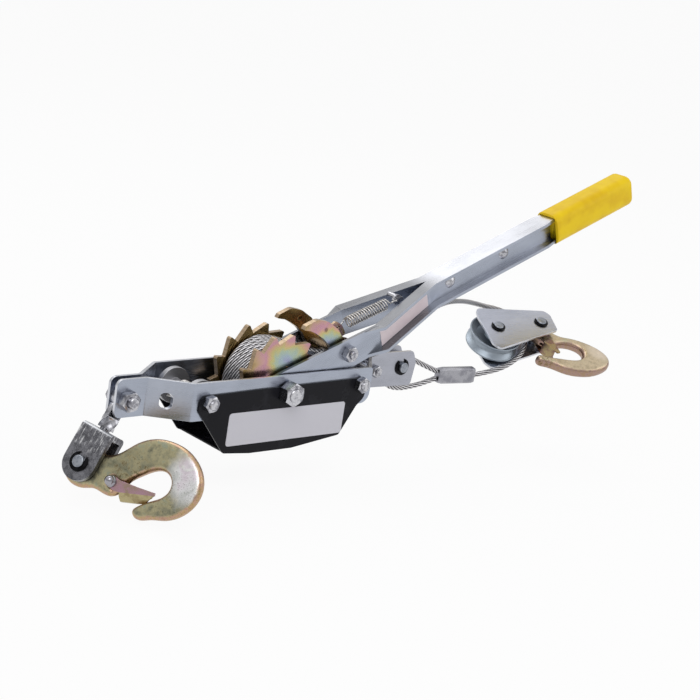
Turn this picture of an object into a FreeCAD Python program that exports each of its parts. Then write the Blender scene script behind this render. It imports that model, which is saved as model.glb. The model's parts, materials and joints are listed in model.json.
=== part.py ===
import FreeCAD, Part
import math
import os

# Hand-lever cable puller with a ratchet drum, two hooks and a pulley block. Lengths are in millimetres.
# Every shape is drawn about the drum axle: X runs along the puller towards the lever's grip, Y away from
# the side that carries the label, Z up. save() lifts it so that the belly's flat bottom lies at Z = 0.

V = FreeCAD.Vector
ORIGIN = V(0, 0, 0)
Y_AXIS = V(0, 1, 0)
Z_AXIS = V(0, 0, 1)
HINGE = V(0, -1, 0)

# Fits and clearances
RUN_FIT = 0.06
HOLE_FIT = 0.25
FACE_GAP = 0.1
SIDE_GAP = 0.3

# Sheet thicknesses and the stack of faces from the mid-plane outwards
DRUM_HALF = 16.0
RATCHET_PLATE = 5.0
INNER_WASHER = 2.5
LEVER_PLATE = 3.0
OUTER_WASHER = 2.0
FRAME_PLATE = 3.0
COVER_SHEET = 1.5
LABEL_SHEET = 0.5
RATCHET_OUT = DRUM_HALF + RATCHET_PLATE
LEVER_IN = RATCHET_OUT + INNER_WASHER
LEVER_OUT = LEVER_IN + LEVER_PLATE
FRAME_IN = LEVER_OUT + OUTER_WASHER
FRAME_OUT = FRAME_IN + FRAME_PLATE
COVER_OUT = FRAME_OUT + COVER_SHEET
BEND = 3.0

# Frame plates
FRAME_LEFT = -163.8
FRAME_RIGHT = 100.9
FRAME_TOP = 14.8
FRAME_LOW = -18.9
HEAD_END = -133.0
BODY_START = -100.6
LINK_THICK = 6.0
HEAD_IN = LINK_THICK / 2 + SIDE_GAP
SLOT_X = -120.0
SLOT_LONG = 14.0
SLOT_WIDE = 9.0

# Belly cover
BELLY_DEPTH = 53.4
AXLE_HEIGHT = BELLY_DEPTH
BELLY_FROM = -34.0
BELLY_TO = 14.0

# Bolts: shank radius, width across flats, nut height
AXLE_R = 6.0
AXLE_FLATS = 19.0
AXLE_NUT = 10.9
AXLE_WASHER_R = 12.0
HEAD_R = 5.0
HEAD_FLATS = 16.0
HEAD_NUT = 8.0
HEAD_X = -152.4
HEAD_Z = -3.4
COVER_R = 4.0
COVER_FLATS = 13.0
COVER_NUT = 6.5
LEFT_X = -86.9
LEFT_Z = -2.7
RIGHT_X = 85.8
RIGHT_Z = 0.6
PAWL_R = 4.0
PAWL_FLATS = 13.0
PAWL_NUT = 6.5
PAWL_X = 71.0
PAWL_Z = 29.0
ANCHOR_R = 3.0
ANCHOR_FLATS = 10.0
ANCHOR_NUT = 5.0
ANCHOR_X = 123.8
ANCHOR_Z = 3.2
THREAD_END = 2.0

# Drum
TEETH = 14
TIP_R = 48.0
ROOT_R = 40.0
FACE_ANGLE = 74.3
FACE_LEAN = 4.0
LAND_ANGLE = 2.5
SLEEVE_R = 20.0
SLEEVE_WALL = 3.0
SLEEVE_TABS = 3
TAB_ANGLE = 32.0
ROPE = 4.8
WIND_TURNS = 5
WIND_PITCH = 5.3
WIND_R = 36.5
WIND_TAIL = 20.7
LEAVE_ANGLE = 75.5

# Lever, drawn along its own length from the axle
LEVER_ANGLE = 21.3
FORK_END = 114.0
MERGE = 200.0
LEVER_LENGTH = 473.0
LEVER_UP = 12.4
LEVER_DOWN = 13.6
FORK_R = 17.0
FLANGE = 8.5
FLANGE_START = 98.0
FLANGE_FULL = 122.0
RIVET_AT = (227.6, 300.3)
RIVET_LEVEL = 1.3
RIVET_R = 3.0
RIVET_HEAD = 6.3
RIVET_DOME = 3.4
STICKER_ENDS = (2.0, 5.2)
GRIP_FROM = LEVER_LENGTH - 107.0
GRIP_TO = LEVER_LENGTH + 7.0
GRIP_HALF = 14.0
GRIP_UP = 16.0
GRIP_DOWN = 16.0
GRIP_ROUND = 9.0
GRIP_FLANGE = 6.5

# Pawls
STOP_HUB_R = 16.0
STOP_TUBE_R = 6.5
STOP_NOSE_ANGLE = -145.8
STOP_DROP = 13.0
DRIVE_TUBE_R = 6.3
DRIVE_WEB_R = 11.9
DRIVE_WEB = 2.4
TAB_Y = -8.0
TAB_THICK = 2.4
SPRING_WIRE = 1.7
SPRING_COIL_R = 4.6
SPRING_TURNS = 18
SPRING_HOLE = (70.0, 48.0)
SPRING_POST = (140.0, 70.0)

# Rope anchor
BRACKET_IN = 7.5
BRACKET_PLATE = 3.0
BRACKET_TAIL = 74.0
BRACKET_BEND = 116.0
PIN_R = 4.9
PIN_X = 158.3
PIN_Z = 4.7
CLIP_THICK = 1.2
CLIP_GROOVE = 0.8

# Left end: link, clevis and anchor hook
LINK_TILT = 27.4
LINK_LENGTH = 63.0
LINK_EYE_R = 10.0
LINK_BAR = 13.0
TWIST_FROM = -18.5
SWIVEL = -72.0
NECK_R = 4.5
NECK_HEAD_AT = 22.5
BRIDGE_LOW = 27.0
CLEVIS_PLATE = 5.0
CLEVIS_LEG = 4.7
CLEVIS_HALF = 16.0
CLEVIS_PIN_R = 5.25
HOOK_THICK = 11.0
HOOK_SIDE = 0.75
HOOK_ROUND = 3.0
CLEVIS_IN = HOOK_THICK / 2 + HOOK_SIDE
LATCH_SHEET = 1.2
LATCH_SIDE = 0.4
LATCH_PIN_R = 2.0
ANCHOR_BALL_R = 4.4
LOAD_BALL_R = 2.8
LATCH_WIRE = 0.45
LATCH_PITCH = 1.35
LATCH_POCKET = 3.4
POCKET_R = 4.3
POCKET_REACH = 14.0
WEB_DROP = 7.5
WEB_RISE = 5.0
ANCHOR_LATCH_AT = (33.0, -1.0)
ANCHOR_LATCH_TIP = (73.5, -2.5)
LOAD_LATCH_AT = (0.8, -11.0)
LOAD_LATCH_TIP = (2.3, -38.5)

# Right end: pulley block, whose own X runs along the plates
BLOCK_AT = V(301.6, 9.4, 19.1)
BLOCK_TURNS = (-10.7, -4.8, -66.3)
PULLEY_R = 26.4
PULLEY_HALF = 7.8
PULLEY_OFF = 1.5
PULLEY_RIM = 1.6
PULLEY_HUB_R = 9.0
PULLEY_DISH = 4.2
GROOVE_R = 21.5
BLOCK_IN = 11.5
BLOCK_PLATE = 2.5
BLOCK_PIN_R = 5.0
HOOK_PIN_X = 52.7

# Rope ferrule: its two ends and the halves of its section
FERRULE_LEFT = V(218.8, -0.5, -11.6)
FERRULE_RIGHT = V(263.6, -5.9, -12.4)
FERRULE_HIGH = 8.3
FERRULE_WIDE = 3.8


def turned(x, z, degrees):
    """The point (x, z) turned anticlockwise about the origin."""
    angle = math.radians(degrees)
    return (x * math.cos(angle) - z * math.sin(angle), x * math.sin(angle) + z * math.cos(angle))


def polar(radius, degrees):
    """The point at a radius and an angle from +X towards +Z."""
    return turned(radius, 0.0, degrees)


def outline_wire(corners, to_space):
    """Closed wire of lines with an arc at each (a, b, radius) corner; radius 0 leaves a corner sharp."""
    count = len(corners)
    cuts = []
    for index, (a, b, radius) in enumerate(corners):
        here = V(a, b, 0)
        back = V(corners[index - 1][0], corners[index - 1][1], 0) - here
        ahead = V(corners[(index + 1) % count][0], corners[(index + 1) % count][1], 0) - here
        room = 0.49 * min(back.Length, ahead.Length)
        back.normalize()
        ahead.normalize()
        half = back.getAngle(ahead) / 2
        reach = min(radius / math.tan(half), room)
        if reach < 1e-4:
            cuts.append((here, None, here))
            continue
        arc_radius = reach * math.tan(half)
        middle = (back + ahead).normalize()
        apex = here + middle * (arc_radius / math.sin(half) - arc_radius)
        cuts.append((here + back * reach, apex, here + ahead * reach))
    edges = []
    for index, (start, apex, end) in enumerate(cuts):
        if apex is not None:
            edges.append(Part.Arc(to_space(start), to_space(apex), to_space(end)).toShape())
        onward = cuts[(index + 1) % count][0]
        if (onward - end).Length > 1e-5:
            edges.append(Part.LineSegment(to_space(end), to_space(onward)).toShape())
    return Part.Wire(edges)


def plate(corners, low, high):
    """Solid between Y = low and Y = high with an (x, z, radius) outline."""
    wire = outline_wire(corners, lambda p: V(p.x, low, p.y))
    return Part.Face(wire).extrude(V(0, high - low, 0))


def slab(corners, low, high):
    """Solid between Z = low and Z = high with an (x, y, radius) outline."""
    wire = outline_wire(corners, lambda p: V(p.x, p.y, low))
    return Part.Face(wire).extrude(V(0, 0, high - low))


def pin(x, z, radius, low, high):
    """Cylinder along Y."""
    return Part.makeCylinder(radius, high - low, V(x, low, z), Y_AXIS)


def collar(x, z, outer, inner, low, high):
    """Ring or tube along Y."""
    return pin(x, z, outer, low, high).cut(pin(x, z, inner, low - 1, high + 1))


def mirrored(shape):
    """The same shape on the other side of the mid-plane."""
    return shape.mirror(ORIGIN, Y_AXIS)


def revolved(profile, base, direction):
    """Solid of revolution of a closed (radius, along) outline about a line from base."""
    points = [V(radius, 0, along) for radius, along in profile]
    face = Part.Face(Part.makePolygon(points + points[:1]))
    solid = face.revolve(ORIGIN, Z_AXIS, 360)
    solid.Placement = FreeCAD.Placement(base, FreeCAD.Rotation(Z_AXIS, direction))
    return solid


def moved(shape, placement):
    """A copy of a shape carried by a placement."""
    result = shape.copy()
    result.Placement = placement.multiply(result.Placement)
    return result


def hexagon(x, z, flats, low, high, turn=0.0):
    """Hexagonal prism along Y whose corners are chamfered at both ends."""
    corner_r = flats / math.sqrt(3)
    corners = [polar(corner_r, turn + 60 * k) for k in range(6)]
    prism = plate([(x + a, z + b, 0) for a, b in corners], low, high)
    drop = (corner_r - 0.48 * flats) * math.tan(math.radians(30))
    height = high - low
    profile = [(0, 0), (0.48 * flats, 0), (corner_r, drop), (corner_r, height - drop)]
    profile += [(0.48 * flats, height), (0, height)]
    return prism.common(revolved(profile, V(x, low, z), Y_AXIS))


def nut(x, z, radius, flats, low, high, turn=0.0):
    """Hexagon nut along Y on a bolt of the given radius."""
    return hexagon(x, z, flats, low, high, turn).cut(pin(x, z, radius + RUN_FIT, low - 1, high + 1))


def bolt(x, z, radius, flats, head, low, seat, turn=0.0):
    """Hexagon bolt along Y: chamfered end at Y = low, head beyond Y = seat."""
    length = seat - low
    chamfer = 0.15 * radius
    profile = [(0, 0), (radius - chamfer, 0), (radius, chamfer), (radius, length), (0, length)]
    shank = revolved(profile, V(x, low, z), Y_AXIS)
    return shank.fuse(hexagon(x, z, flats, seat, seat + head, turn))


def offset_path(path, distance):
    """An (x, y) path moved to its left by distance, mitred where it bends."""
    result = []
    for index, (x, y) in enumerate(path):
        normals = []
        for first, second in ((index - 1, index), (index, index + 1)):
            if first >= 0 and second < len(path):
                run = V(path[second][0] - path[first][0], path[second][1] - path[first][1], 0).normalize()
                normals.append(V(-run.y, run.x, 0))
        middle = (normals[0] + normals[-1]).normalize()
        step = distance / middle.dot(normals[0])
        result.append((x + middle.x * step, y + middle.y * step))
    return result


def band(path, thickness, inside, low, high):
    """Bent strip standing between Z = low and Z = high; its other face lies thickness to the path's left."""
    outer = offset_path(path, thickness)
    near_side = []
    far_side = []
    for index, (x, y) in enumerate(path):
        first = 0.0
        second = 0.0
        if 0 < index < len(path) - 1:
            ahead = V(path[index + 1][0] - x, path[index + 1][1] - y, 0)
            back = V(x - path[index - 1][0], y - path[index - 1][1], 0)
            left = back.cross(ahead).z * thickness > 0
            first = inside + abs(thickness) if left else inside
            second = inside if left else inside + abs(thickness)
        near_side.append((x, y, first))
        far_side.append((outer[index][0], outer[index][1], second))
    return slab(near_side + far_side[::-1], low, high)


def biarc(start, start_way, end, end_way):
    """Two tangent arcs from start to end that leave and arrive in the given directions."""
    chord = end - start
    both = start_way + end_way
    a = 2 * (start_way.dot(end_way) - 1)
    b = -2 * chord.dot(both)
    c = chord.dot(chord)
    if abs(a) < 1e-9:
        d = -c / b
    else:
        d = (-b - math.sqrt(b * b - 4 * a * c)) / (2 * a)
    first = start + start_way * d
    second = end - end_way * d
    join = (first + second) * 0.5
    edges = []
    for low, corner, high in ((start, first, join), (join, second, end)):
        half_chord = (high - low) * 0.5
        middle = (low + high) * 0.5
        rise = corner - middle
        if rise.Length < 1e-6:
            edges.append(Part.LineSegment(low, high).toShape())
            continue
        angle = math.atan(rise.Length / half_chord.Length)
        apex = middle + rise.normalize() * (half_chord.Length * math.tan(angle / 2))
        edges.append(Part.Arc(low, apex, high).toShape())
    return edges


def swept(edges, start, way, radius):
    """Round wire or rope of a radius along tangent edges."""
    ring = Part.Wire([Part.makeCircle(radius, start, way)])
    return Part.Wire(edges).makePipeShell([ring], True, False)


def wire_form(stations, radius):
    """Round wire through (point, direction) stations, with a biarc between each two."""
    edges = []
    for (start, start_way), (end, end_way) in zip(stations, stations[1:]):
        edges += biarc(start, start_way, end, end_way)
    return swept(edges, stations[0][0], stations[0][1], radius)


def helix_stations(centre, axis, side, radius, pitch, start_turn, turns, per_turn=4):
    """Points and directions each quarter turn of a helix that starts at start_turn from side."""
    up = axis.cross(side)
    slope = pitch / (2 * math.pi * radius)
    stations = []
    for step in range(int(round(abs(turns) * per_turn)) + 1):
        turn = step / per_turn
        angle = 2 * math.pi * (start_turn + math.copysign(turn, turns))
        out = side * math.cos(angle) + up * math.sin(angle)
        round_way = (up * math.cos(angle) - side * math.sin(angle)) * math.copysign(1, turns)
        way = (round_way + axis * slope).normalize()
        stations.append((centre + axis * (pitch * turn) + out * radius, way))
    return stations


def least_self_gap(centre_points, skip, diameter):
    """Least distance between the surfaces of turns, from points at least skip apart along the wire."""
    least = 1e9
    for first in range(len(centre_points)):
        for second in range(first + skip, len(centre_points)):
            least = min(least, (centre_points[first] - centre_points[second]).Length)
    return least - diameter


def rope_run(name, points, radius):
    """Rope along straight runs joined by tangent arcs as large as the runs allow."""
    corners = [V(*point) for point in points]
    cuts = [(corners[0], None, corners[0])]
    radii = []
    for before, here, after in zip(corners, corners[1:], corners[2:]):
        back = before - here
        ahead = after - here
        reach = 0.45 * min(back.Length, ahead.Length)
        back.normalize()
        ahead.normalize()
        half = back.getAngle(ahead) / 2
        bend = reach * math.tan(half)
        middle = (back + ahead).normalize()
        apex = here + middle * (bend / math.sin(half) - bend)
        radii.append(bend)
        cuts.append((here + back * reach, apex, here + ahead * reach))
    cuts.append((corners[-1], None, corners[-1]))
    edges = []
    for (start, apex, end), (onward, _, _) in zip(cuts, cuts[1:]):
        if apex is not None:
            edges.append(Part.Arc(start, apex, end).toShape())
        edges.append(Part.LineSegment(end, onward).toShape())
    path = Part.Wire(edges)
    rope = swept(edges, corners[0], (corners[1] - corners[0]).normalize(), radius)
    ideal = math.pi * radius ** 2 * path.Length
    print(name, "length", round(path.Length, 1), "volume ratio", round(rope.Volume / ideal, 5))
    print(name, "bend radii", [round(value, 1) for value in radii])
    return rope


def clip(radius, pin_radius, low, opening):
    """Open retaining ring round an origin-centred pin along Y, with its mouth at an angle."""
    ring = collar(0, 0, radius, pin_radius - CLIP_GROOVE + RUN_FIT, low, low + CLIP_THICK)
    mouth = Part.makeBox(2 * radius, CLIP_THICK + 2, 1.5 * pin_radius, V(0, low - 1, -0.75 * pin_radius))
    mouth.rotate(ORIGIN, HINGE, opening)
    return ring.cut(mouth)


def grooved_pin(radius, half_length, groove_at):
    """Origin-centred pin along Y with chamfered ends and a clip groove near each end."""
    body = pin(0, 0, radius, -half_length, half_length)
    body = body.makeChamfer(0.12 * radius, [edge for edge in body.Edges if abs(edge.Length - 2 * math.pi * radius) < 0.01])
    for low in (groove_at, -groove_at - CLIP_THICK):
        groove = collar(0, 0, radius + 1, radius - CLIP_GROOVE, low - RUN_FIT / 2, low + CLIP_THICK + RUN_FIT / 2)
        body = body.cut(groove)
    return body


def smooth_plate(points, thick, rounding):
    """Forging whose outline is one smooth closed curve through (x, z) points, with rounded rims."""
    curve = Part.BSplineCurve()
    curve.interpolate(Points=[V(x, -thick / 2, z) for x, z in points], PeriodicFlag=True)
    body = Part.Face(Part.Wire([curve.toShape()])).extrude(V(0, thick, 0))
    rims = [edge for edge in body.Edges if abs(abs(edge.CenterOfMass.y) - thick / 2) < 1e-6]
    return body.makeFillet(rounding, rims)


def save(name, shape):
    """Write one piece, lifted to the row's origin on the belly's bottom."""
    lifted = shape.copy()
    lifted.translate(V(0, 0, AXLE_HEIGHT))
    if not lifted.isValid() or lifted.Volume <= 0:
        print("bad shape", name, lifted.isValid(), lifted.Volume)
    lifted.exportStep(f"parts/{name}.step")


def frame_plates():
    """Two side plates, drawn together at the head and wide apart round the drum."""
    corners = [(FRAME_LEFT, FRAME_TOP, 6), (FRAME_RIGHT, FRAME_TOP, 3), (FRAME_RIGHT, FRAME_LOW, 10),
               (FRAME_LEFT, FRAME_LOW, 6)]
    side = plate(corners, -FRAME_OUT - 1, FRAME_OUT + 1)
    path = [(FRAME_RIGHT, FRAME_IN), (BODY_START, FRAME_IN), (HEAD_END, HEAD_IN), (FRAME_LEFT, HEAD_IN)]
    far = band(path, -FRAME_PLATE, BEND, FRAME_LOW, FRAME_TOP).common(side)
    half_slot = SLOT_LONG / 2
    slot = [(SLOT_X - SLOT_WIDE / 2, HEAD_Z + half_slot, 4.4), (SLOT_X + SLOT_WIDE / 2, HEAD_Z + half_slot, 4.4),
            (SLOT_X + SLOT_WIDE / 2, HEAD_Z - half_slot, 4.4), (SLOT_X - SLOT_WIDE / 2, HEAD_Z - half_slot, 4.4)]
    far = far.cut(plate(slot, 0, FRAME_OUT + 1))
    for x, z, radius in ((HEAD_X, HEAD_Z, HEAD_R), (LEFT_X, LEFT_Z, COVER_R), (0, 0, AXLE_R),
                         (RIGHT_X, RIGHT_Z, COVER_R)):
        far = far.cut(pin(x, z, radius + HOLE_FIT, 0, FRAME_OUT + 1))
    save("far_side_plate", far)
    save("near_side_plate", mirrored(far))


def belly_cover():
    """Sheet trough under the drum, open at both ends, with its two walls bolted outside the frame."""
    outline = [(LEFT_X - 9.5, 3.4, 7), (-34.7, 4.8, 60), (RIGHT_X + 8.2, 6.6, 7), (RIGHT_X + 7.7, -12.5, 8), (RIGHT_X - 0.5, -20, 6),
               (68.8, -46.4, 4), (BELLY_TO, -BELLY_DEPTH, 12), (BELLY_FROM, -BELLY_DEPTH, 12), (-64, -50.6, 5),
               (LEFT_X - 10, -10, 7)]
    solid = plate(outline, -COVER_OUT, COVER_OUT)
    inside = plate(outline, -FRAME_OUT, FRAME_OUT)
    floor = [(-62, -50.8, 0), (BELLY_FROM, -BELLY_DEPTH, 12), (BELLY_TO, -BELLY_DEPTH, 12), (66.5, -46.8, 0)]
    raised = [(x, z + COVER_SHEET, radius) for x, z, radius in floor]
    strip = plate(floor + raised[::-1], -COVER_OUT, COVER_OUT).common(solid)
    cover = solid.cut(inside).fuse(strip).removeSplitter()
    for x, z, radius in ((0, 0, AXLE_R), (LEFT_X, LEFT_Z, COVER_R), (RIGHT_X, RIGHT_Z, COVER_R)):
        cover = cover.cut(pin(x, z, radius + HOLE_FIT, -COVER_OUT - 1, COVER_OUT + 1))
    save("belly_cover", cover)
    corners = [(-62.5, -14.5, 3), (70.7, -14.5, 3), (70.7, -44.3, 3), (-62.5, -44.5, 3)]
    save("cover_label", plate(corners, -COVER_OUT - LABEL_SHEET, -COVER_OUT))


def frame_fasteners():
    """Axle, head and cover bolts with their nuts, washers and the tail's spacer."""
    axle_end = COVER_OUT + AXLE_NUT + THREAD_END - 0.5
    save("axle_bolt", bolt(0, 0, AXLE_R, AXLE_FLATS, 7.5, -axle_end, COVER_OUT))
    save("axle_nut", nut(0, 0, AXLE_R, AXLE_FLATS, -COVER_OUT - AXLE_NUT, -COVER_OUT, 30))
    washers = []
    for low, high in ((RATCHET_OUT + FACE_GAP, LEVER_IN - FACE_GAP), (LEVER_OUT + FACE_GAP, FRAME_IN)):
        washer = collar(0, 0, AXLE_WASHER_R, AXLE_R + RUN_FIT, low, high)
        washers += [washer, mirrored(washer)]
    save("axle_washers", Part.makeCompound(washers))
    head_seat = HEAD_IN + FRAME_PLATE
    head_end = head_seat + HEAD_NUT + THREAD_END + 1.7
    save("head_bolt", bolt(HEAD_X, HEAD_Z, HEAD_R, HEAD_FLATS, 6.4, -head_end, head_seat))
    save("head_nut", nut(HEAD_X, HEAD_Z, HEAD_R, HEAD_FLATS, -head_seat - HEAD_NUT, -head_seat, 12))
    bolts = []
    nuts = []
    for x, z, turn in ((LEFT_X, LEFT_Z, 8), (RIGHT_X, RIGHT_Z, 22)):
        cover_end = COVER_OUT + COVER_NUT + THREAD_END
        bolts.append(bolt(x, z, COVER_R, COVER_FLATS, 5.3, -cover_end, COVER_OUT, turn))
        nuts.append(nut(x, z, COVER_R, COVER_FLATS, -COVER_OUT - COVER_NUT, -COVER_OUT, turn))
    save("cover_bolts", Part.makeCompound(bolts))
    save("cover_nuts", Part.makeCompound(nuts))
    half = FRAME_IN - BRACKET_PLATE
    save("rear_spacer", collar(RIGHT_X, RIGHT_Z, 7.0, COVER_R + HOLE_FIT, -half, half))


def ratchet_wheels():
    """Two toothed discs of the drum, slotted for the sleeve's tabs."""
    pitch = 360.0 / TEETH
    corners = []
    for tooth in range(TEETH):
        face = FACE_ANGLE + pitch * tooth
        corners.append((*polar(ROOT_R, face), 1.0))
        tip = face + FACE_LEAN
        corners.append((*polar(TIP_R, tip), 0.6))
        corners.append((*polar(TIP_R, tip + LAND_ANGLE), 0.8))
    wheel = plate(corners, DRUM_HALF, RATCHET_OUT)
    wheel = wheel.cut(pin(0, 0, AXLE_R + RUN_FIT, DRUM_HALF - 1, RATCHET_OUT + 1))
    wheel = wheel.cut(sleeve_tabs(HOLE_FIT))
    save("far_ratchet", wheel)
    save("near_ratchet", mirrored(wheel))


def sleeve_tabs(clearance):
    """Far end's tabs of the drum sleeve, or with a clearance the slots that take them."""
    ring = collar(0, 0, SLEEVE_R + clearance, SLEEVE_R - SLEEVE_WALL - clearance, DRUM_HALF, RATCHET_OUT)
    tabs = []
    reach = 2 * SLEEVE_R
    half = TAB_ANGLE / 2 + math.degrees(clearance / SLEEVE_R)
    for index in range(SLEEVE_TABS):
        middle = 62 + 360.0 / SLEEVE_TABS * index
        wedge = [(0, 0, 0), (*polar(reach, middle - half), 0), (*polar(reach, middle + half), 0)]
        tabs.append(ring.common(plate(wedge, DRUM_HALF, RATCHET_OUT)))
    return Part.makeCompound(tabs)


def drum():
    """Sleeve, the rope stored under the outer layer, and the outer layer wound round it."""
    tube = collar(0, 0, SLEEVE_R, SLEEVE_R - SLEEVE_WALL, -DRUM_HALF, DRUM_HALF)
    tabs = sleeve_tabs(0.0)
    save("drum_sleeve", tube.fuse([tabs, mirrored(tabs)]).removeSplitter())
    core_r = WIND_R - ROPE / 2 - SIDE_GAP
    core_half = DRUM_HALF - FACE_GAP
    save("rope_core", collar(0, 0, core_r, SLEEVE_R + FACE_GAP, -core_half, core_half))
    start = V(0, -WIND_PITCH * WIND_TURNS / 2, 0)
    side = V(math.cos(math.radians(LEAVE_ANGLE)), 0, math.sin(math.radians(LEAVE_ANGLE)))
    turns = helix_stations(start, Y_AXIS, side, WIND_R, WIND_PITCH, 0.0, WIND_TURNS)
    first_point, first_way = turns[0]
    last_point, last_way = turns[-1]
    tail_way = V(last_way.x, 0, last_way.z).normalize()
    stations = [(first_point - first_way * ROPE, first_way)] + turns[:-1]
    stations += [(last_point, tail_way), (last_point + tail_way * WIND_TAIL, tail_way)]
    winding = wire_form(stations, ROPE / 2)
    centre_points = [helix_stations(start, Y_AXIS, side, WIND_R, WIND_PITCH, 0.0, WIND_TURNS, 24)]
    points = [point for point, way in centre_points[0]]
    print("winding: least gap between turns", round(least_self_gap(points, 20, ROPE), 2))
    print("winding leaves the drum at", last_point, "towards", tail_way, "ends at", stations[-1][0])
    save("rope_winding", winding)


def stop_pawl():
    """Pawl on the left cover bolt; drawn with its nose between two teeth, then lowered clear of them."""
    tip = polar(ROOT_R + 1.2, STOP_NOSE_ANGLE)
    heel = polar(TIP_R + 2, STOP_NOSE_ANGLE)
    cheek = [(*tip, 0.8), (-45.2, -18.9, 3), (LEFT_X + 10, LEFT_Z + 8, 6), (LEFT_X - 2, LEFT_Z + 8, 6),
             (LEFT_X - 2, LEFT_Z - 13.5, 6), (-60, -27.5, 20), (*heel, 1.5)]
    far = plate(cheek, DRUM_HALF, RATCHET_OUT).fuse(pin(LEFT_X, LEFT_Z, STOP_HUB_R, DRUM_HALF, RATCHET_OUT))
    half = FRAME_IN - SIDE_GAP
    body = far.fuse([mirrored(far), pin(LEFT_X, LEFT_Z, STOP_TUBE_R, -half, half)])
    body = body.cut(pin(LEFT_X, LEFT_Z, COVER_R + RUN_FIT, -half - 1, half + 1)).removeSplitter()
    body.rotate(V(LEFT_X, 0, LEFT_Z), HINGE, -STOP_DROP)
    save("stop_pawl", body)
    wire = 0.9
    centre = V(LEFT_X, -7.0, LEFT_Z)
    turns = helix_stations(centre, Y_AXIS, V(1, 0, 0), STOP_TUBE_R + wire + SIDE_GAP, 2.5, 0.25, 5)
    start_point, start_way = turns[0]
    end_point, end_way = turns[-1]
    stations = [(start_point - start_way * 14, start_way)] + turns + [(end_point + end_way * 14, end_way)]
    spring = wire_form(stations, wire)
    spring.rotate(V(LEFT_X, 0, LEFT_Z), HINGE, -STOP_DROP)
    save("stop_pawl_spring", spring)
    print("stop pawl spring: least gap between turns", round(2.5 - 2 * wire, 2))


def lever_placement():
    """Carries what is drawn along the lever to the lever's rest angle."""
    return FreeCAD.Placement(ORIGIN, FreeCAD.Rotation(HINGE, LEVER_ANGLE))


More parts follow.
